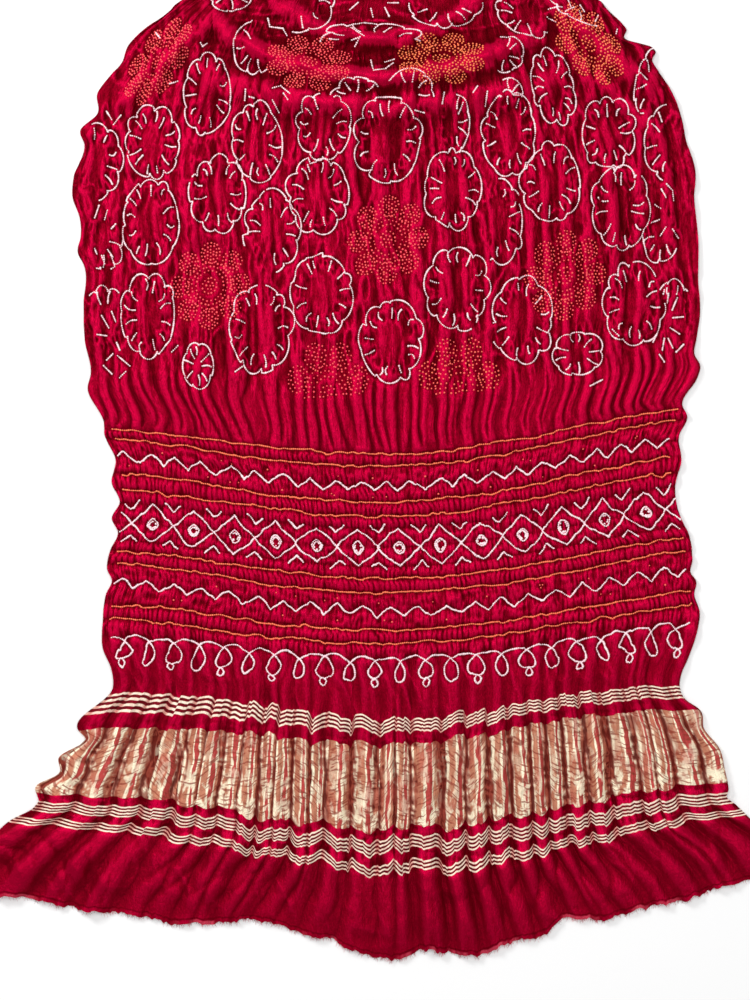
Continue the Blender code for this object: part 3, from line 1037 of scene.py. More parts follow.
def hollows(height, swags, rows):
    """How deep each point lies in the creases round it: 0 on a ridge, 1 in a crease."""
    step = np.median(np.diff(rows))
    total = np.zeros_like(height)
    scales = [(*scale, height) for scale in HOLLOW_SCALES] + [(*COWL_HOLLOW, swags)]
    for reach, depth, part, surface in scales:
        soft = soften(soften(surface, reach, 1), reach / step, 0)
        total += part * (soft - surface) / depth
    return np.clip(0.5 + 0.5 * total, 0, 1)


def soften(grid, sigma, axis):
    """A blur along one axis that keeps the values at the ends."""
    reach = max(1, int(3 * sigma))
    kernel = bell(sigma, reach)

    def along_line(line):
        return np.convolve(np.pad(line, reach, mode="edge"), kernel, mode="valid")

    return np.apply_along_axis(along_line, axis, grid)


def grid_rows():
    """The distance down the cloth of every row of points, and the rows where pieces meet."""
    rows = [0.0]
    cuts = [0]
    for part in PARTS:
        rows += list(np.linspace(part.start, part.end, part.rows + 1)[1:])
        cuts.append(len(rows) - 1)
    return np.array(rows), cuts


def make_grid(dots):
    """The grid of the whole cloth: its shares across, its distances down, its points, how deep
    each lies, and the rows where the pieces meet."""
    raw = tie_map(dots)
    ties = {"line": np.clip(blurred(raw, LINE_BLUR) / LINE_FULL, 0, 1),
            "wide": np.clip(blurred(raw, WIDE_BLUR) / WIDE_FULL, 0, 1)}
    rows, cuts = grid_rows()
    share, along = np.meshgrid(np.linspace(0, 1, COLUMNS + 1), rows)
    x, y = plan(share, along)
    hem_fray = step_up(along, LENGTH - FRAY_DEEP, LENGTH)
    ragged = 2.0 * noise(x / 3.1, y * 0 + 2.5, 51) + 2.8 * noise(x / 9, y * 0 + 7.5, 52)
    y = y + hem_fray * (ragged + 2.4 * noise(x / 23, y * 0 + 3.5, 53))
    z = cloth_height(share, along, x, y, ties)
    points = np.stack([x - MIDDLE_X, y - MIDDLE_Y, z], axis=-1) * MM
    return share, along, points, hollows(z, swag_height(x, y), rows), cuts


def grid_normals(points):
    """The way the cloth faces at each point."""
    across = np.gradient(points, axis=1)
    down = np.gradient(points, axis=0)
    normals = np.cross(down, across)
    return normals / np.linalg.norm(normals, axis=-1, keepdims=True)


def lowest_near(height):
    """The lowest height around each point of the coarse underside."""
    rows, columns = height.shape
    low = np.empty((rows // UNDER_ROWS + 1, columns // UNDER_COLUMNS + 1))
    for i in range(low.shape[0]):
        first = max(0, (i - 1) * UNDER_ROWS)
        band = height[first:(i + 1) * UNDER_ROWS + 1].min(axis=0)
        for j in range(low.shape[1]):
            start = max(0, (j - 1) * UNDER_COLUMNS)
            low[i, j] = band[start:(j + 1) * UNDER_COLUMNS + 1].min()
    return low


def grid_faces(rows, columns):
    """The numbers of a grid's points, and its square faces."""
    index = np.arange(rows * columns).reshape(rows, columns)
    faces = np.stack([index[:-1, :-1], index[1:, :-1], index[1:, 1:], index[:-1, 1:]], axis=-1)
    return index, faces.reshape(-1, 4).tolist()


def put(name, data):
    """A new object in the scene, at the origin."""
    made = bpy.data.objects.new(name, data)
    bpy.context.scene.collection.objects.link(made)
    return made


def cloth_piece(part, share, along, points, normals, values):
    """One closed piece of the cloth: the fine face, and an underside of larger cells whose
    rim takes in every point of the edge."""
    rows, columns = share.shape
    top, faces = grid_faces(rows, columns)
    where = list(points.reshape(-1, 3))
    under = {}
    low = lowest_near(points[:, :, 2])

    def under_point(row, column):
        key = (row, column)
        if key not in under:
            x, y, z = points[row, column]
            on_rim = row in (0, rows - 1) or column in (0, columns - 1)
            base = z if on_rim else low[row // UNDER_ROWS, column // UNDER_COLUMNS]
            under[key] = len(where)
            where.append((x, y, max(0.0, base - THICKNESS * MM)))
        return under[key]

    for row in range(0, rows - 1, UNDER_ROWS):
        for column in range(0, columns - 1, UNDER_COLUMNS):
            row_end = row + UNDER_ROWS
            column_end = column + UNDER_COLUMNS
            head = range(column, column_end, 1 if row == 0 else UNDER_COLUMNS)
            tail = range(column_end, column, -1 if row_end == rows - 1 else -UNDER_COLUMNS)
            right = range(row, row_end, 1 if column_end == columns - 1 else UNDER_ROWS)
            left = range(row_end, row, -1 if column == 0 else -UNDER_ROWS)
            cell = [under_point(row, c) for c in head]
            cell += [under_point(r, column_end) for r in right]
            cell += [under_point(row_end, c) for c in tail]
            cell += [under_point(r, column) for r in left]
            faces.append(cell)
    rim = [(0, c) for c in range(columns - 1)]
    rim += [(r, columns - 1) for r in range(rows - 1)]
    rim += [(rows - 1, c) for c in range(columns - 1, 0, -1)]
    rim += [(r, 0) for r in range(rows - 1, 0, -1)]
    for here, there in zip(rim, rim[1:] + rim[:1]):
        faces.append([int(top[here]), int(top[there]), under_point(*there), under_point(*here)])

    mesh = bpy.data.meshes.new(part.name)
    mesh.from_pydata([tuple(p) for p in where], [], faces)
    mesh.update()
    uv = np.zeros((len(where), 2))
    uv[:rows * columns, 0] = share.ravel() * FLAT_WIDTH
    uv[:rows * columns, 1] = along.ravel() * MM
    for (row, column), index in under.items():
        uv[index] = share[row, column] * FLAT_WIDTH, along[row, column] * MM
    layer = mesh.uv_layers.new(name="weave")
    corner = np.empty(len(mesh.loops), int)
    mesh.loops.foreach_get("vertex_index", corner)
    layer.data.foreach_set("uv", uv[corner].astype(np.float32).ravel())
    for key, grid in values.items():
        numbers = np.full(len(where), 0.5, np.float32)
        numbers[:rows * columns] = grid.ravel()
        mesh.attributes.new(key, "FLOAT", "POINT").data.foreach_set("value", numbers)
    mesh.shade_smooth()
    mesh.set_sharp_from_angle(angle=math.radians(70))
    custom = np.zeros((len(where), 3))
    custom[:rows * columns] = normals.reshape(-1, 3)
    mesh.normals_split_custom_set_from_vertices(custom.tolist())
    return put(part.name, mesh)


# Materials


class Tree:
    """A short way to write a node tree."""

    def __init__(self, tree):
        self.tree = tree

    def node(self, kind, **settings):
        made = self.tree.nodes.new(kind)
        for name, value in settings.items():
            setattr(made, name, value)
        return made

    def feed(self, socket, value):
        if isinstance(value, bpy.types.NodeSocket):
            self.tree.links.new(value, socket)
        else:
            socket.default_value = value

    def math(self, operation, *values, clamp=False):
        made = self.node("ShaderNodeMath", operation=operation, use_clamp=clamp)
        for socket, value in zip(made.inputs, values):
            self.feed(socket, value)
        return made.outputs[0]

    def add(self, first, second):
        return self.math("ADD", first, second)

    def less(self, first, second):
        return self.math("SUBTRACT", first, second)

    def times(self, first, second):
        return self.math("MULTIPLY", first, second)

    def greater(self, first, second):
        return self.math("MAXIMUM", first, second)

    def mix(self, share, first, second):
        made = self.node("ShaderNodeMix", data_type="RGBA")
        self.feed(made.inputs[0], share)
        self.feed(made.inputs[6], first)
        self.feed(made.inputs[7], second)
        return made.outputs[2]

    def spread(self, value, low, high, to_low=0.0, to_high=1.0):
        made = self.node("ShaderNodeMapRange", interpolation_type="SMOOTHSTEP")
        for socket, given in zip(made.inputs, (value, low, high, to_low, to_high)):
            self.feed(socket, given)
        return made.outputs[0]

    def noise(self, vector, scale, detail=2.0, rough=0.5):
        made = self.node("ShaderNodeTexNoise")
        self.feed(made.inputs["Vector"], vector)
        made.inputs["Scale"].default_value = scale
        made.inputs["Detail"].default_value = detail
        made.inputs["Roughness"].default_value = rough
        return made.outputs[0]

    def stretched(self, vector, sizes):
        made = self.node("ShaderNodeMapping")
        self.feed(made.inputs["Vector"], vector)
        made.inputs["Scale"].default_value = (*sizes, 1)
        return made.outputs[0]

    def cloth_noise(self, vector, cells, detail=2.0, rough=0.5):
        """Noise with so many cells to a metre across and down the weave."""
        return self.noise(self.stretched(vector, cells), 1.0, detail, rough)

    def band(self, value, low, high, soft):
        up = self.spread(value, low - soft, low + soft)
        down = self.spread(value, high - soft, high + soft)
        return self.math("SUBTRACT", up, down, clamp=True)

    def ramp(self, value, stops):
        made = self.node("ShaderNodeValToRGB")
        self.feed(made.inputs[0], value)
        points = made.color_ramp.elements
        for place, colour in stops[len(points):]:
            points.new(place)
        for point, (place, colour) in zip(points, stops):
            point.position = place
            point.color = colour
        return made.outputs[0]

    def bump(self, height, distance, strength=1.0, normal=None):
        made = self.node("ShaderNodeBump")
        made.inputs["Strength"].default_value = strength
        made.inputs["Distance"].default_value = distance
        self.feed(made.inputs["Height"], height)
        if normal is not None:
            self.feed(made.inputs["Normal"], normal)
        return made.outputs[0]


def new_material(name):
    """A new material, its node tree and its shader."""
    material = bpy.data.materials.new(name)
    material.use_nodes = True
    tree = Tree(material.node_tree)
    return material, tree, material.node_tree.nodes["Principled BSDF"]


CRIMSON = (0.3, 0.0, 0.015, 1)
CRIMSON_HIGHLIGHT = (0.56, 0.001, 0.042, 1)
CRIMSON_HALF_SHADE = (0.16, 0.0, 0.006, 1)
CRIMSON_SHADE = (0.1, 0.0, 0.003, 1)
HEM_CRIMSON = (0.24, 0.0, 0.012, 1)
FRINGE_PINK = (0.56, 0.05, 0.09, 1)
THREAD_PINK = (0.75, 0.12, 0.16, 1)
BEIGE_GOLD = (0.54, 0.215, 0.13, 1)
GOLD_CREASE_SHADE = (0.1, 0.008, 0.006, 1)
GOLD_HIGHLIGHT = (1.0, 0.9, 0.66, 1)
ROSE_GOLD = (0.5, 0.065, 0.06, 1)
GOLD_SHADE = (0.29, 0.055, 0.035, 1)
LINE_GAP_SHADOW = (0.11, 0.006, 0.009, 1)
STRIPE_GOLD = (1.0, 0.82, 0.66, 1)
UNDYED_SHADE = (0.95, 0.66, 0.72, 1)
UNDYED = (1.0, 0.87, 0.89, 1)
ORANGE_RED = (1.0, 0.09, 0.12, 1)
ORANGE_YELLOW = (1.0, 0.38, 0.08, 1)

# The silk's painted light and shade, from a painted highlight on a ridge to painted shade in a crease.
SILK_LIGHT_AND_SHADE = (
    (0.0, CRIMSON_HIGHLIGHT),
    (0.28, CRIMSON_HIGHLIGHT),
    (0.5, CRIMSON),
    (0.8, CRIMSON_HALF_SHADE),
    (1.0, CRIMSON_SHADE),
)

# The metal thread's colour across one pleat: beige on its face, a painted highlight where it turns to
# the light, rose where the red silk shows through, and painted shade in the crease at each end.
GOLD_RAMP = (
    (0.0, GOLD_CREASE_SHADE),
    (0.05, GOLD_CREASE_SHADE),
    (0.1, GOLD_HIGHLIGHT),
    (0.16, GOLD_HIGHLIGHT),
    (0.21, BEIGE_GOLD),
    (0.46, BEIGE_GOLD),
    (0.51, GOLD_HIGHLIGHT),
    (0.56, GOLD_HIGHLIGHT),
    (0.58, ROSE_GOLD),
    (0.73, ROSE_GOLD),
    (0.75, GOLD_HIGHLIGHT),
    (0.8, GOLD_HIGHLIGHT),
    (0.85, BEIGE_GOLD),
    (0.95, BEIGE_GOLD),
    (1.0, GOLD_CREASE_SHADE),
)


def silk_and_gold():
    """Satin silk, with the metal thread of the border woven in across it, and light and shade painted
    into both.
    """
    material, tree, shader = new_material("crimson_satin_and_gold")
    uv = tree.node("ShaderNodeUVMap", uv_map="weave").outputs[0]
    split = tree.node("ShaderNodeSeparateXYZ")
    tree.feed(split.inputs[0], uv)
    down = split.outputs[1]
    hollow = tree.node("ShaderNodeAttribute", attribute_name="hollow").outputs["Fac"]

    # How far into painted shade the silk goes: the crease measure, shifted by random streaks and
    # clouds, with thin painted crease lines from the crinkle and painted light and shade on the puckers
    # of the tied rows.
    cloudy = tree.cloth_noise(uv, (38, 20), 3.0)
    streaks = tree.cloth_noise(uv, (420, 70), 3.0, 0.6)
    depth = tree.add(hollow, tree.times(tree.less(streaks, 0.5), 0.5))
    depth = tree.add(depth, tree.times(tree.less(0.5, cloudy), 0.25))
    crinkle = tree.cloth_noise(uv, (190, 80), 4.0, 0.6)
    crinkle = tree.math("ABSOLUTE", tree.less(crinkle, 0.5))
    depth = tree.add(depth, tree.spread(crinkle, 0.03, 0.0, 0.0, 0.28))
    pucker = tree.cloth_noise(uv, (290, 48), 2.0, 0.5)
    tied = tree.band(down, 0.566, 0.79, 0.004)
    patchy = tree.spread(tree.cloth_noise(uv, (24, 13), 2.0), 0.42, 0.58, 0.1, 0.75)
    ribbed = tree.times(patchy, tree.spread(down, 0.47, 0.51, 1.0, 0.0))
    ribbed = tree.greater(tied, ribbed)
    pucker = tree.times(tree.less(pucker, 0.5), ribbed)
    depth = tree.add(depth, tree.times(pucker, 1.7))
    silk = tree.ramp(depth, SILK_LIGHT_AND_SHADE)
    silk = tree.mix(tree.spread(down, 1.0225, 1.03, 0.0, 0.6), silk, HEM_CRIMSON)
    silk = tree.mix(tree.times(tree.band(down, 0.8, 0.888, 0.01), 0.4), silk, HEM_CRIMSON)
    # The strip is a little paler: a tenth of the way to the highlight crimson.
    silk = tree.mix(tree.times(tree.band(down, 0.5, 0.566, 0.012), 0.1), silk, CRIMSON_HIGHLIGHT)
    # Painted shade in a thin band along the rolled hem.
    rolled_hem_shade = tree.band(down, (LENGTH - 6.5) * MM, (LENGTH - 4.5) * MM, 0.0009)
    silk = tree.mix(tree.times(rolled_hem_shade, 0.7), silk, CRIMSON_SHADE)
    ragged = tree.spread(tree.cloth_noise(uv, (17, 1), 4.0, 0.6), 0.5, 0.6, 0.0, 0.8)
    fringe = tree.times(ragged, tree.spread(down, (LENGTH - 4.5) * MM, (LENGTH - 3) * MM))
    silk = tree.mix(fringe, silk, FRINGE_PINK)

    band = tree.band(down, GOLD_BAND[0] * MM, GOLD_BAND[1] * MM, 0.0003)
    lines = tree.times(0.0, down)
    beside = lines
    for start, pitch, count in GOLD_LINES:
        inside = tree.band(down, start * MM, (start + pitch * count) * MM, 0.0001)
        step = tree.math("DIVIDE", tree.less(down, start * MM), pitch * MM)
        line = tree.band(tree.math("FRACT", step), 0.17, 0.63, 0.07)
        lines = tree.greater(lines, tree.times(inside, line))
        first, last = start + 0.3 * pitch, start + pitch * (count - 0.5)
        beside = tree.greater(beside, tree.band(down, first * MM, last * MM, 0.0001))
    gold = tree.greater(band, lines)

    pleat = tree.node("ShaderNodeAttribute", attribute_name="pleat").outputs["Fac"]
    chance = tree.node("ShaderNodeTexWhiteNoise", noise_dimensions="1D")
    tree.feed(chance.inputs["W"], tree.math("FLOOR", pleat))
    own = tree.less(chance.outputs["Value"], 0.5)
    wiggle = tree.less(tree.cloth_noise(uv, (95, 30), 2.0, 0.6), 0.5)
    place = tree.add(tree.math("FRACT", pleat), tree.times(own, 0.22))
    place = tree.add(place, tree.times(wiggle, 0.42))
    metal = tree.ramp(place, GOLD_RAMP)
    # Painted highlights: pale glints in patches, most of them low on the band.
    glints = tree.cloth_noise(uv, (55, 42), 3.0, 0.6)
    low_down = tree.spread(down, 0.915, 0.965, 0.3, 0.95)
    metal = tree.mix(tree.times(tree.spread(glints, 0.5, 0.6), low_down), metal, GOLD_HIGHLIGHT)
    blush = tree.cloth_noise(uv, (32, 24), 2.0)
    metal = tree.mix(tree.spread(blush, 0.5, 0.65, 0.0, 0.4), metal, ROSE_GOLD)
    lean = tree.times(tree.times(own, 0.05), tree.math("FRACT", pleat))
    slanted = tree.node("ShaderNodeCombineXYZ")
    tree.feed(slanted.inputs[0], split.outputs[0])
    tree.feed(slanted.inputs[1], tree.add(down, lean))
    wrinkle = tree.cloth_noise(slanted.outputs[0], (55, 400), 2.0, 0.5)
    fine = tree.cloth_noise(uv, (420, 900), 2.0, 0.6)
    # Painted shade in the wrinkles and hollows of the gold, with fine random dark flecks; the deepest
    # hollows are painted darker still.
    wrinkle_and_hollow_shade = tree.spread(wrinkle, 0.47, 0.39, 0.0, 0.8)
    wrinkle_and_hollow_shade = tree.greater(wrinkle_and_hollow_shade, tree.spread(fine, 0.45, 0.3, 0.0, 0.35))
    wrinkle_and_hollow_shade = tree.greater(wrinkle_and_hollow_shade, tree.spread(hollow, 0.54, 0.85, 0.0, 0.85))
    metal = tree.mix(wrinkle_and_hollow_shade, metal, GOLD_SHADE)
    metal = tree.mix(tree.spread(hollow, 0.86, 1.0, 0.0, 0.85), metal, GOLD_CREASE_SHADE)
    # Painted light and shade on the thin gold lines: lighter in patches and at the middle of each
    # pleat, rose towards its creases.
    aside = tree.math("ABSOLUTE", tree.less(tree.math("FRACT", pleat), 0.5))
    lit = tree.times(tree.spread(glints, 0.4, 0.5, 0.75, 1.0), tree.spread(aside, 0.48, 0.34, 0.3, 1.0))
    metal = tree.mix(lines, metal, tree.mix(lit, ROSE_GOLD, STRIPE_GOLD))
    # Painted shadow on the silk between the thin gold lines.
    silk = tree.mix(tree.times(beside, 0.8), silk, LINE_GAP_SHADOW)
    tree.feed(shader.inputs["Base Color"], tree.mix(gold, silk, metal))
    shine = tree.add(0.4, tree.times(band, -0.22))
    tree.feed(shader.inputs["Metallic"], tree.less(shine, tree.times(lines, 0.3)))
    tree.feed(shader.inputs["Roughness"], tree.spread(cloudy, 0.3, 0.75, 0.36, 0.46))
    shader.inputs["Specular IOR Level"].default_value = 0.03
    shader.inputs["Specular Tint"].default_value = (1.0, 0.25, 0.35, 1)

    threads = tree.node("ShaderNodeTexWave", wave_type="BANDS", bands_direction="Y")
    tree.feed(threads.inputs["Vector"], uv)
    threads.inputs["Scale"].default_value = 330
    threads.inputs["Distortion"].default_value = 0.6
    tiny = tree.cloth_noise(uv, (420, 190), 3.0, 0.6)
    rough_field = tree.spread(down, 0.86, 0.89, 1.0, 0.5)
    creases = tree.times(tiny, rough_field)
    creases = tree.add(creases, tree.times(crinkle, 2.2))
    creases = tree.add(creases, tree.times(pucker, -1.6))
    shape = tree.bump(creases, 0.0011, 0.9)
    tree.feed(shader.inputs["Normal"], tree.bump(threads.outputs[1], 0.00012, 0.5, shape))
    return material


def dot_material(name, low, high):
    """Undyed or orange silk at a tied point, with a shade of its own for each dot."""
    material, tree, shader = new_material(name)
    tone = tree.node("ShaderNodeAttribute", attribute_name="tone").outputs["Fac"]
    place = tree.node("ShaderNodeTexCoord").outputs["Object"]
    fleck = tree.noise(place, 900, 2.0)
    colour = tree.mix(tree.spread(fleck, 0.3, 0.8, 0.0, 0.35), tree.mix(tone, low, high), low)
    tree.feed(shader.inputs["Base Color"], colour)
    shader.inputs["Roughness"].default_value = 0.6
    shader.inputs["Specular IOR Level"].default_value = 0.2
    tree.feed(shader.inputs["Normal"], tree.bump(fleck, 0.0002, 0.4))
    return material


def thread_material():
    """The loose threads: the silk's crimson, paler in places."""
    material, tree, shader = new_material("frayed_silk_thread")
    place = tree.node("ShaderNodeTexCoord").outputs["Object"]
    shade = tree.noise(place, 160, 2.0)
    colour = tree.mix(tree.spread(shade, 0.35, 0.7), CRIMSON, THREAD_PINK)
    tree.feed(shader.inputs["Base Color"], colour)
    shader.inputs["Roughness"].default_value = 0.6
    return material


# Dots and threads, set on the cloth by node trees

DOT_RADIUS = 1.02 * MM
DOT_HIGH = 0.72
THREAD_RADIUS = 0.16 * MM
THREAD_LENGTH = 4.5 * MM
THREAD_COUNT = 800


class Nodes(Tree):
    """A geometry node tree with named inputs."""

    def __init__(self, name):
        super().__init__(bpy.data.node_groups.new(name, "GeometryNodeTree"))
        self.tree.interface.new_socket("Geometry", in_out="INPUT", socket_type="NodeSocketGeometry")
        self.tree.interface.new_socket("Geometry", in_out="OUTPUT", socket_type="NodeSocketGeometry")
        self.given = {}

    def size(self, name, kind, value):
        socket = self.tree.interface.new_socket(name, in_out="INPUT", socket_type=kind)
        self.given[socket.identifier] = value
        return name

    def start(self):
        return self.node("NodeGroupInput")

    def finish(self, geometry):
        end = self.node("NodeGroupOutput")
        self.feed(end.inputs[0], geometry)

    def named(self, name, kind="FLOAT"):
        made = self.node("GeometryNodeInputNamedAttribute", data_type=kind)
        made.inputs[0].default_value = name
        return made.outputs[0]


def plain_mesh(source, nodes, name):
    """Runs a node tree on an object, and keeps its result as a plain mesh."""
    modifier = source.modifiers.new("nodes", "NODES")
    modifier.node_group = nodes.tree
    for identifier, value in nodes.given.items():
        modifier[identifier] = value
    evaluated = source.evaluated_get(bpy.context.evaluated_depsgraph_get())
    mesh = bpy.data.meshes.new_from_object(evaluated)
    mesh.name = name
    source.modifiers.remove(modifier)
    bpy.data.objects.remove(source, do_unlink=True)
    return put(name, mesh)


def point_object(name, places, directions, values):
    """A mesh of loose points that carry named directions and numbers."""
    mesh = bpy.data.meshes.new(name)
    mesh.from_pydata([tuple(p) for p in places], [], [])
    for key, vectors in directions.items():
        attribute = mesh.attributes.new(key, "FLOAT_VECTOR", "POINT")
        attribute.data.foreach_set("vector", np.asarray(vectors, np.float32).ravel())
    for key, numbers in values.items():
        attribute = mesh.attributes.new(key, "FLOAT", "POINT")
        attribute.data.foreach_set("value", np.asarray(numbers, np.float32))
    return put(name, mesh)


def dot_nodes(material, seed):
    """A low dome on every point, turned to face the way the cloth does."""
    nodes = Nodes("tied_dots")
    radius = nodes.size("Dot radius", "NodeSocketFloat", DOT_RADIUS)
    flatness = nodes.size("Dot height share", "NodeSocketFloat", DOT_HIGH)
    draw = nodes.size("Seed", "NodeSocketInt", seed)
    given = nodes.start()
    ball = nodes.node("GeometryNodeMeshIcoSphere")
    nodes.feed(ball.inputs["Radius"], given.outputs[radius])
    squash = nodes.node("ShaderNodeCombineXYZ")
    squash.inputs[0].default_value = 1.0
    squash.inputs[1].default_value = 1.0
    nodes.feed(squash.inputs[2], given.outputs[flatness])
    shape = nodes.node("GeometryNodeTransform")
    nodes.feed(shape.inputs["Geometry"], ball.outputs["Mesh"])
    nodes.feed(shape.inputs["Scale"], squash.outputs[0])
    upright = nodes.node("FunctionNodeAlignRotationToVector", axis="Z")
    nodes.feed(upright.inputs["Vector"], nodes.named("facing", "FLOAT_VECTOR"))
    turn = nodes.node("FunctionNodeAlignRotationToVector", axis="X", pivot_axis="Z")
    nodes.feed(turn.inputs["Rotation"], upright.outputs[0])
    nodes.feed(turn.inputs["Vector"], nodes.named("way", "FLOAT_VECTOR"))
    chance = nodes.node("FunctionNodeRandomValue", data_type="FLOAT")
    chance.inputs[2].default_value = 0.8
    chance.inputs[3].default_value = 1.2
    nodes.feed(chance.inputs["Seed"], given.outputs[draw])
    across = nodes.times(chance.outputs[1], nodes.named("size"))
    scale = nodes.node("ShaderNodeCombineXYZ")
    nodes.feed(scale.inputs[0], nodes.times(across, nodes.named("stretch")))
    nodes.feed(scale.inputs[1], across)
    nodes.feed(scale.inputs[2], across)
    place = nodes.node("GeometryNodeInstanceOnPoints")
    nodes.feed(place.inputs["Points"], given.outputs[0])
    nodes.feed(place.inputs["Instance"], shape.outputs[0])
    nodes.feed(place.inputs["Rotation"], turn.outputs[0])
    nodes.feed(place.inputs["Scale"], scale.outputs[0])
    real = nodes.node("GeometryNodeRealizeInstances")
    nodes.feed(real.inputs[0], place.outputs[0])
    smooth = nodes.node("GeometryNodeSetShadeSmooth")
    nodes.feed(smooth.inputs[0], real.outputs[0])
    coat = nodes.node("GeometryNodeSetMaterial")
    nodes.feed(coat.inputs["Geometry"], smooth.outputs[0])
    coat.inputs["Material"].default_value = material
    nodes.finish(coat.outputs[0])
    return nodes


def thread_nodes(material, seed):
    """A thin loose thread end on every point, lying out from the hem."""
    nodes = Nodes("frayed_threads")
    radius = nodes.size("Thread radius", "NodeSocketFloat", THREAD_RADIUS)
    length = nodes.size("Thread length", "NodeSocketFloat", THREAD_LENGTH)
    draw = nodes.size("Seed", "NodeSocketInt", seed)
    given = nodes.start()
    stick = nodes.node("GeometryNodeMeshCone")
    stick.inputs["Vertices"].default_value = 4
    stick.inputs["Side Segments"].default_value = 2
    nodes.feed(stick.inputs["Radius Bottom"], given.outputs[radius])
    nodes.feed(stick.inputs["Radius Top"], nodes.times(given.outputs[radius], 0.4))
    nodes.feed(stick.inputs["Depth"], given.outputs[length])
    turn = nodes.node("FunctionNodeAlignRotationToVector", axis="Z")
    nodes.feed(turn.inputs["Vector"], nodes.named("facing", "FLOAT_VECTOR"))
    chance = nodes.node("FunctionNodeRandomValue", data_type="FLOAT")
    chance.inputs[2].default_value = 0.4
    chance.inputs[3].default_value = 1.3
    nodes.feed(chance.inputs["Seed"], given.outputs[draw])
    place = nodes.node("GeometryNodeInstanceOnPoints")
    nodes.feed(place.inputs["Points"], given.outputs[0])
    nodes.feed(place.inputs["Instance"], stick.outputs[0])
    nodes.feed(place.inputs["Rotation"], turn.outputs[0])
    stretch = nodes.node("ShaderNodeCombineXYZ")
    stretch.inputs[0].default_value = 1.0
    stretch.inputs[1].default_value = 1.0
    nodes.feed(stretch.inputs[2], chance.outputs[1])
    nodes.feed(place.inputs["Scale"], stretch.outputs[0])
    real = nodes.node("GeometryNodeRealizeInstances")
    nodes.feed(real.inputs[0], place.outputs[0])
    coat = nodes.node("GeometryNodeSetMaterial")
    nodes.feed(coat.inputs["Geometry"], real.outputs[0])
    coat.inputs["Material"].default_value = material
    nodes.finish(coat.outputs[0])
    return nodes


def settle(dots, surface):
    """Drops dots on the cloth: where each lands, how the cloth faces there, how the dot's line
    runs, and which dots landed."""
    places = []
    facings = []
    ways = []
    kept = []
    for i, (x, y, way_x, way_y) in enumerate(dots):
        start = Vector(((x - MIDDLE_X) * MM, (y - MIDDLE_Y) * MM, 0.2))
        hit, normal = surface.ray_cast(start, Vector((0, 0, -1)))[:2]
        if hit is None:
            continue
        places.append(hit)
        facings.append(normal.lerp(Vector((0, 0, 1)), 0.3))
        ways.append((way_x, way_y, 0))
        kept.append(i)
    return places, {"facing": facings, "way": ways}, np.array(kept)


def stretches(dots):
    """Dots in a line run into each other a little, and single ones are round."""
    return np.where(np.abs(dots[:, 2:]).sum(axis=1) > 0, DOT_STRETCH, 1.0)


def face_tree(points):
    """A search tree of the cloth's face."""
    faces = grid_faces(*points.shape[:2])[1]
    return BVHTree.FromPolygons(points.reshape(-1, 3).tolist(), faces)


def frayed_ends(points, count=THREAD_COUNT):
    """Places along the hem, and the way a loose thread points there."""
    rng = np.random.default_rng(9)
    edge = points[-1]
    place = rng.uniform(0, len(edge) - 1.001, count)
    index = place.astype(int)
    share = (place - index)[:, None]
    spots = edge[index] * (1 - share) + edge[index + 1] * share
    ways = [rng.normal(mean, spread, count) for mean, spread in ((0, 0.6), (-1, 0.2), (-0.1, 0.2))]
    spots = spots + np.array([0, 0.5 * MM, -0.3 * MM])
    spots[:, 2] = np.maximum(spots[:, 2], 0.4 * MM)
    return spots, np.column_stack(ways)


def make_cloth():
    (white, white_sizes), (coloured, sizes), tones = tied_dots()
    share, along, points, hollow, cuts = make_grid(np.concatenate([white, coloured]))
    normals = grid_normals(points)
    material = silk_and_gold()
    pieces = []
    for part, first, last in zip(PARTS, cuts, cuts[1:]):
        rows = slice(first, last + 1)
        values = {"hollow": hollow[rows], "pleat": border_pleat(share[rows], along[rows])}
        piece = cloth_piece(part, share[rows], along[rows], points[rows], normals[rows], values)
        piece.data.materials.append(material)
        pieces.append(piece)

    surface = face_tree(points)
    rng = np.random.default_rng(15)
    places, directions, kept = settle(white, surface)
    shades = rng.uniform(0, 1, len(kept))
    values = {"size": white_sizes[kept], "tone": shades, "stretch": stretches(white[kept])}
    undyed = dot_material("undyed_silk", UNDYED_SHADE, UNDYED)
    source = point_object("white_points", places, directions, values)
    dots = [plain_mesh(source, dot_nodes(undyed, 3), "white_dots")]
    places, directions, kept = settle(coloured, surface)
    values = {"size": sizes[kept], "tone": tones[kept], "stretch": stretches(coloured[kept])}
    orange = dot_material("orange_silk", ORANGE_RED, ORANGE_YELLOW)
    source = point_object("orange_points", places, directions, values)
    dots.append(plain_mesh(source, dot_nodes(orange, 4), "orange_dots"))

    spots, ways = frayed_ends(points)
    source = point_object("hem_points", spots, {"facing": ways}, {})
    fray = plain_mesh(source, thread_nodes(thread_material(), 6), "frayed_hem")
    return pieces, dots, fray


# Floor, lights and camera

FLOOR_REACH = 6.0
FLOOR_LOW = -0.6 * MM


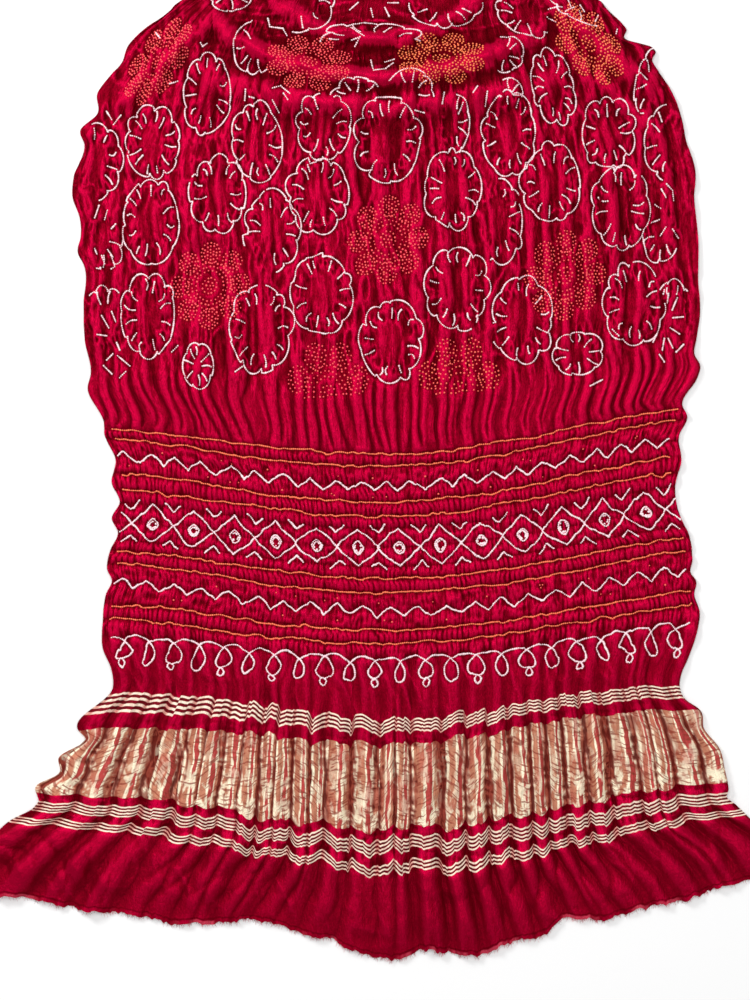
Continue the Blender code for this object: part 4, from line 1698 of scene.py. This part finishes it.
def make_floor():
    """A pale sheet of paper, just under the cloth."""
    mesh = bpy.data.meshes.new("pale_floor")
    corners = ((-FLOOR_REACH, -FLOOR_REACH), (FLOOR_REACH, -FLOOR_REACH),
               (FLOOR_REACH, FLOOR_REACH), (-FLOOR_REACH, FLOOR_REACH))
    mesh.from_pydata([(x, y, FLOOR_LOW) for x, y in corners], [], [(0, 1, 2, 3)])
    material, _, shader = new_material("pale_paper")
    shader.inputs["Base Color"].default_value = (0.93, 0.93, 0.93, 1)
    shader.inputs["Roughness"].default_value = 0.9
    mesh.materials.append(material)
    put("pale_floor", mesh)


def area_light(name, place, size, power):
    """A soft light that faces the middle of the cloth."""
    data = bpy.data.lights.new(name, "AREA")
    data.size = size
    data.energy = power
    light = put(name, data)
    light.location = place
    light.rotation_euler = (-Vector(place)).to_track_quat("-Z", "Y").to_euler()


def make_studio():
    """A large soft light overhead, a smaller one to show the folds, and a white world."""
    area_light("key", (-1.7, 1.5, 1.5), 0.7, 40)
    area_light("softbox", (0.2, 0.5, 3.6), 3.2, 105)
    world = bpy.data.worlds.new("studio")
    world.use_nodes = True
    background = world.node_tree.nodes["Background"]
    background.inputs[0].default_value = (1, 1, 1, 1)
    background.inputs[1].default_value = 0.3
    bpy.context.scene.world = world
    bpy.context.scene.view_settings.view_transform = "Standard"


# The camera's height in metres, and its sensor's longer side in millimetres.
CAMERA_HEIGHT = 3.0
SENSOR = 36.0


def make_camera():
    """Straight above the cloth, with the photo's frame."""
    data = bpy.data.cameras.new("camera")
    data.sensor_width = SENSOR
    data.lens = SENSOR * CAMERA_HEIGHT / (FRAME_HIGH_PX * PIXEL * MM)
    camera = put("camera", data)
    x, y = from_photo(FRAME_WIDE_PX / 2, FRAME_HIGH_PX / 2)
    camera.location = ((x - MIDDLE_X) * MM, (y - MIDDLE_Y) * MM, CAMERA_HEIGHT)
    bpy.context.scene.camera = camera


make_camera()
make_floor()
make_studio()
cloth_pieces, dot_pieces, fray_piece = make_cloth()
for piece in cloth_pieces + dot_pieces + [fray_piece]:
    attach(piece, "root")
for piece, part in zip(cloth_pieces, PARTS):
    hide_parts("cloth")
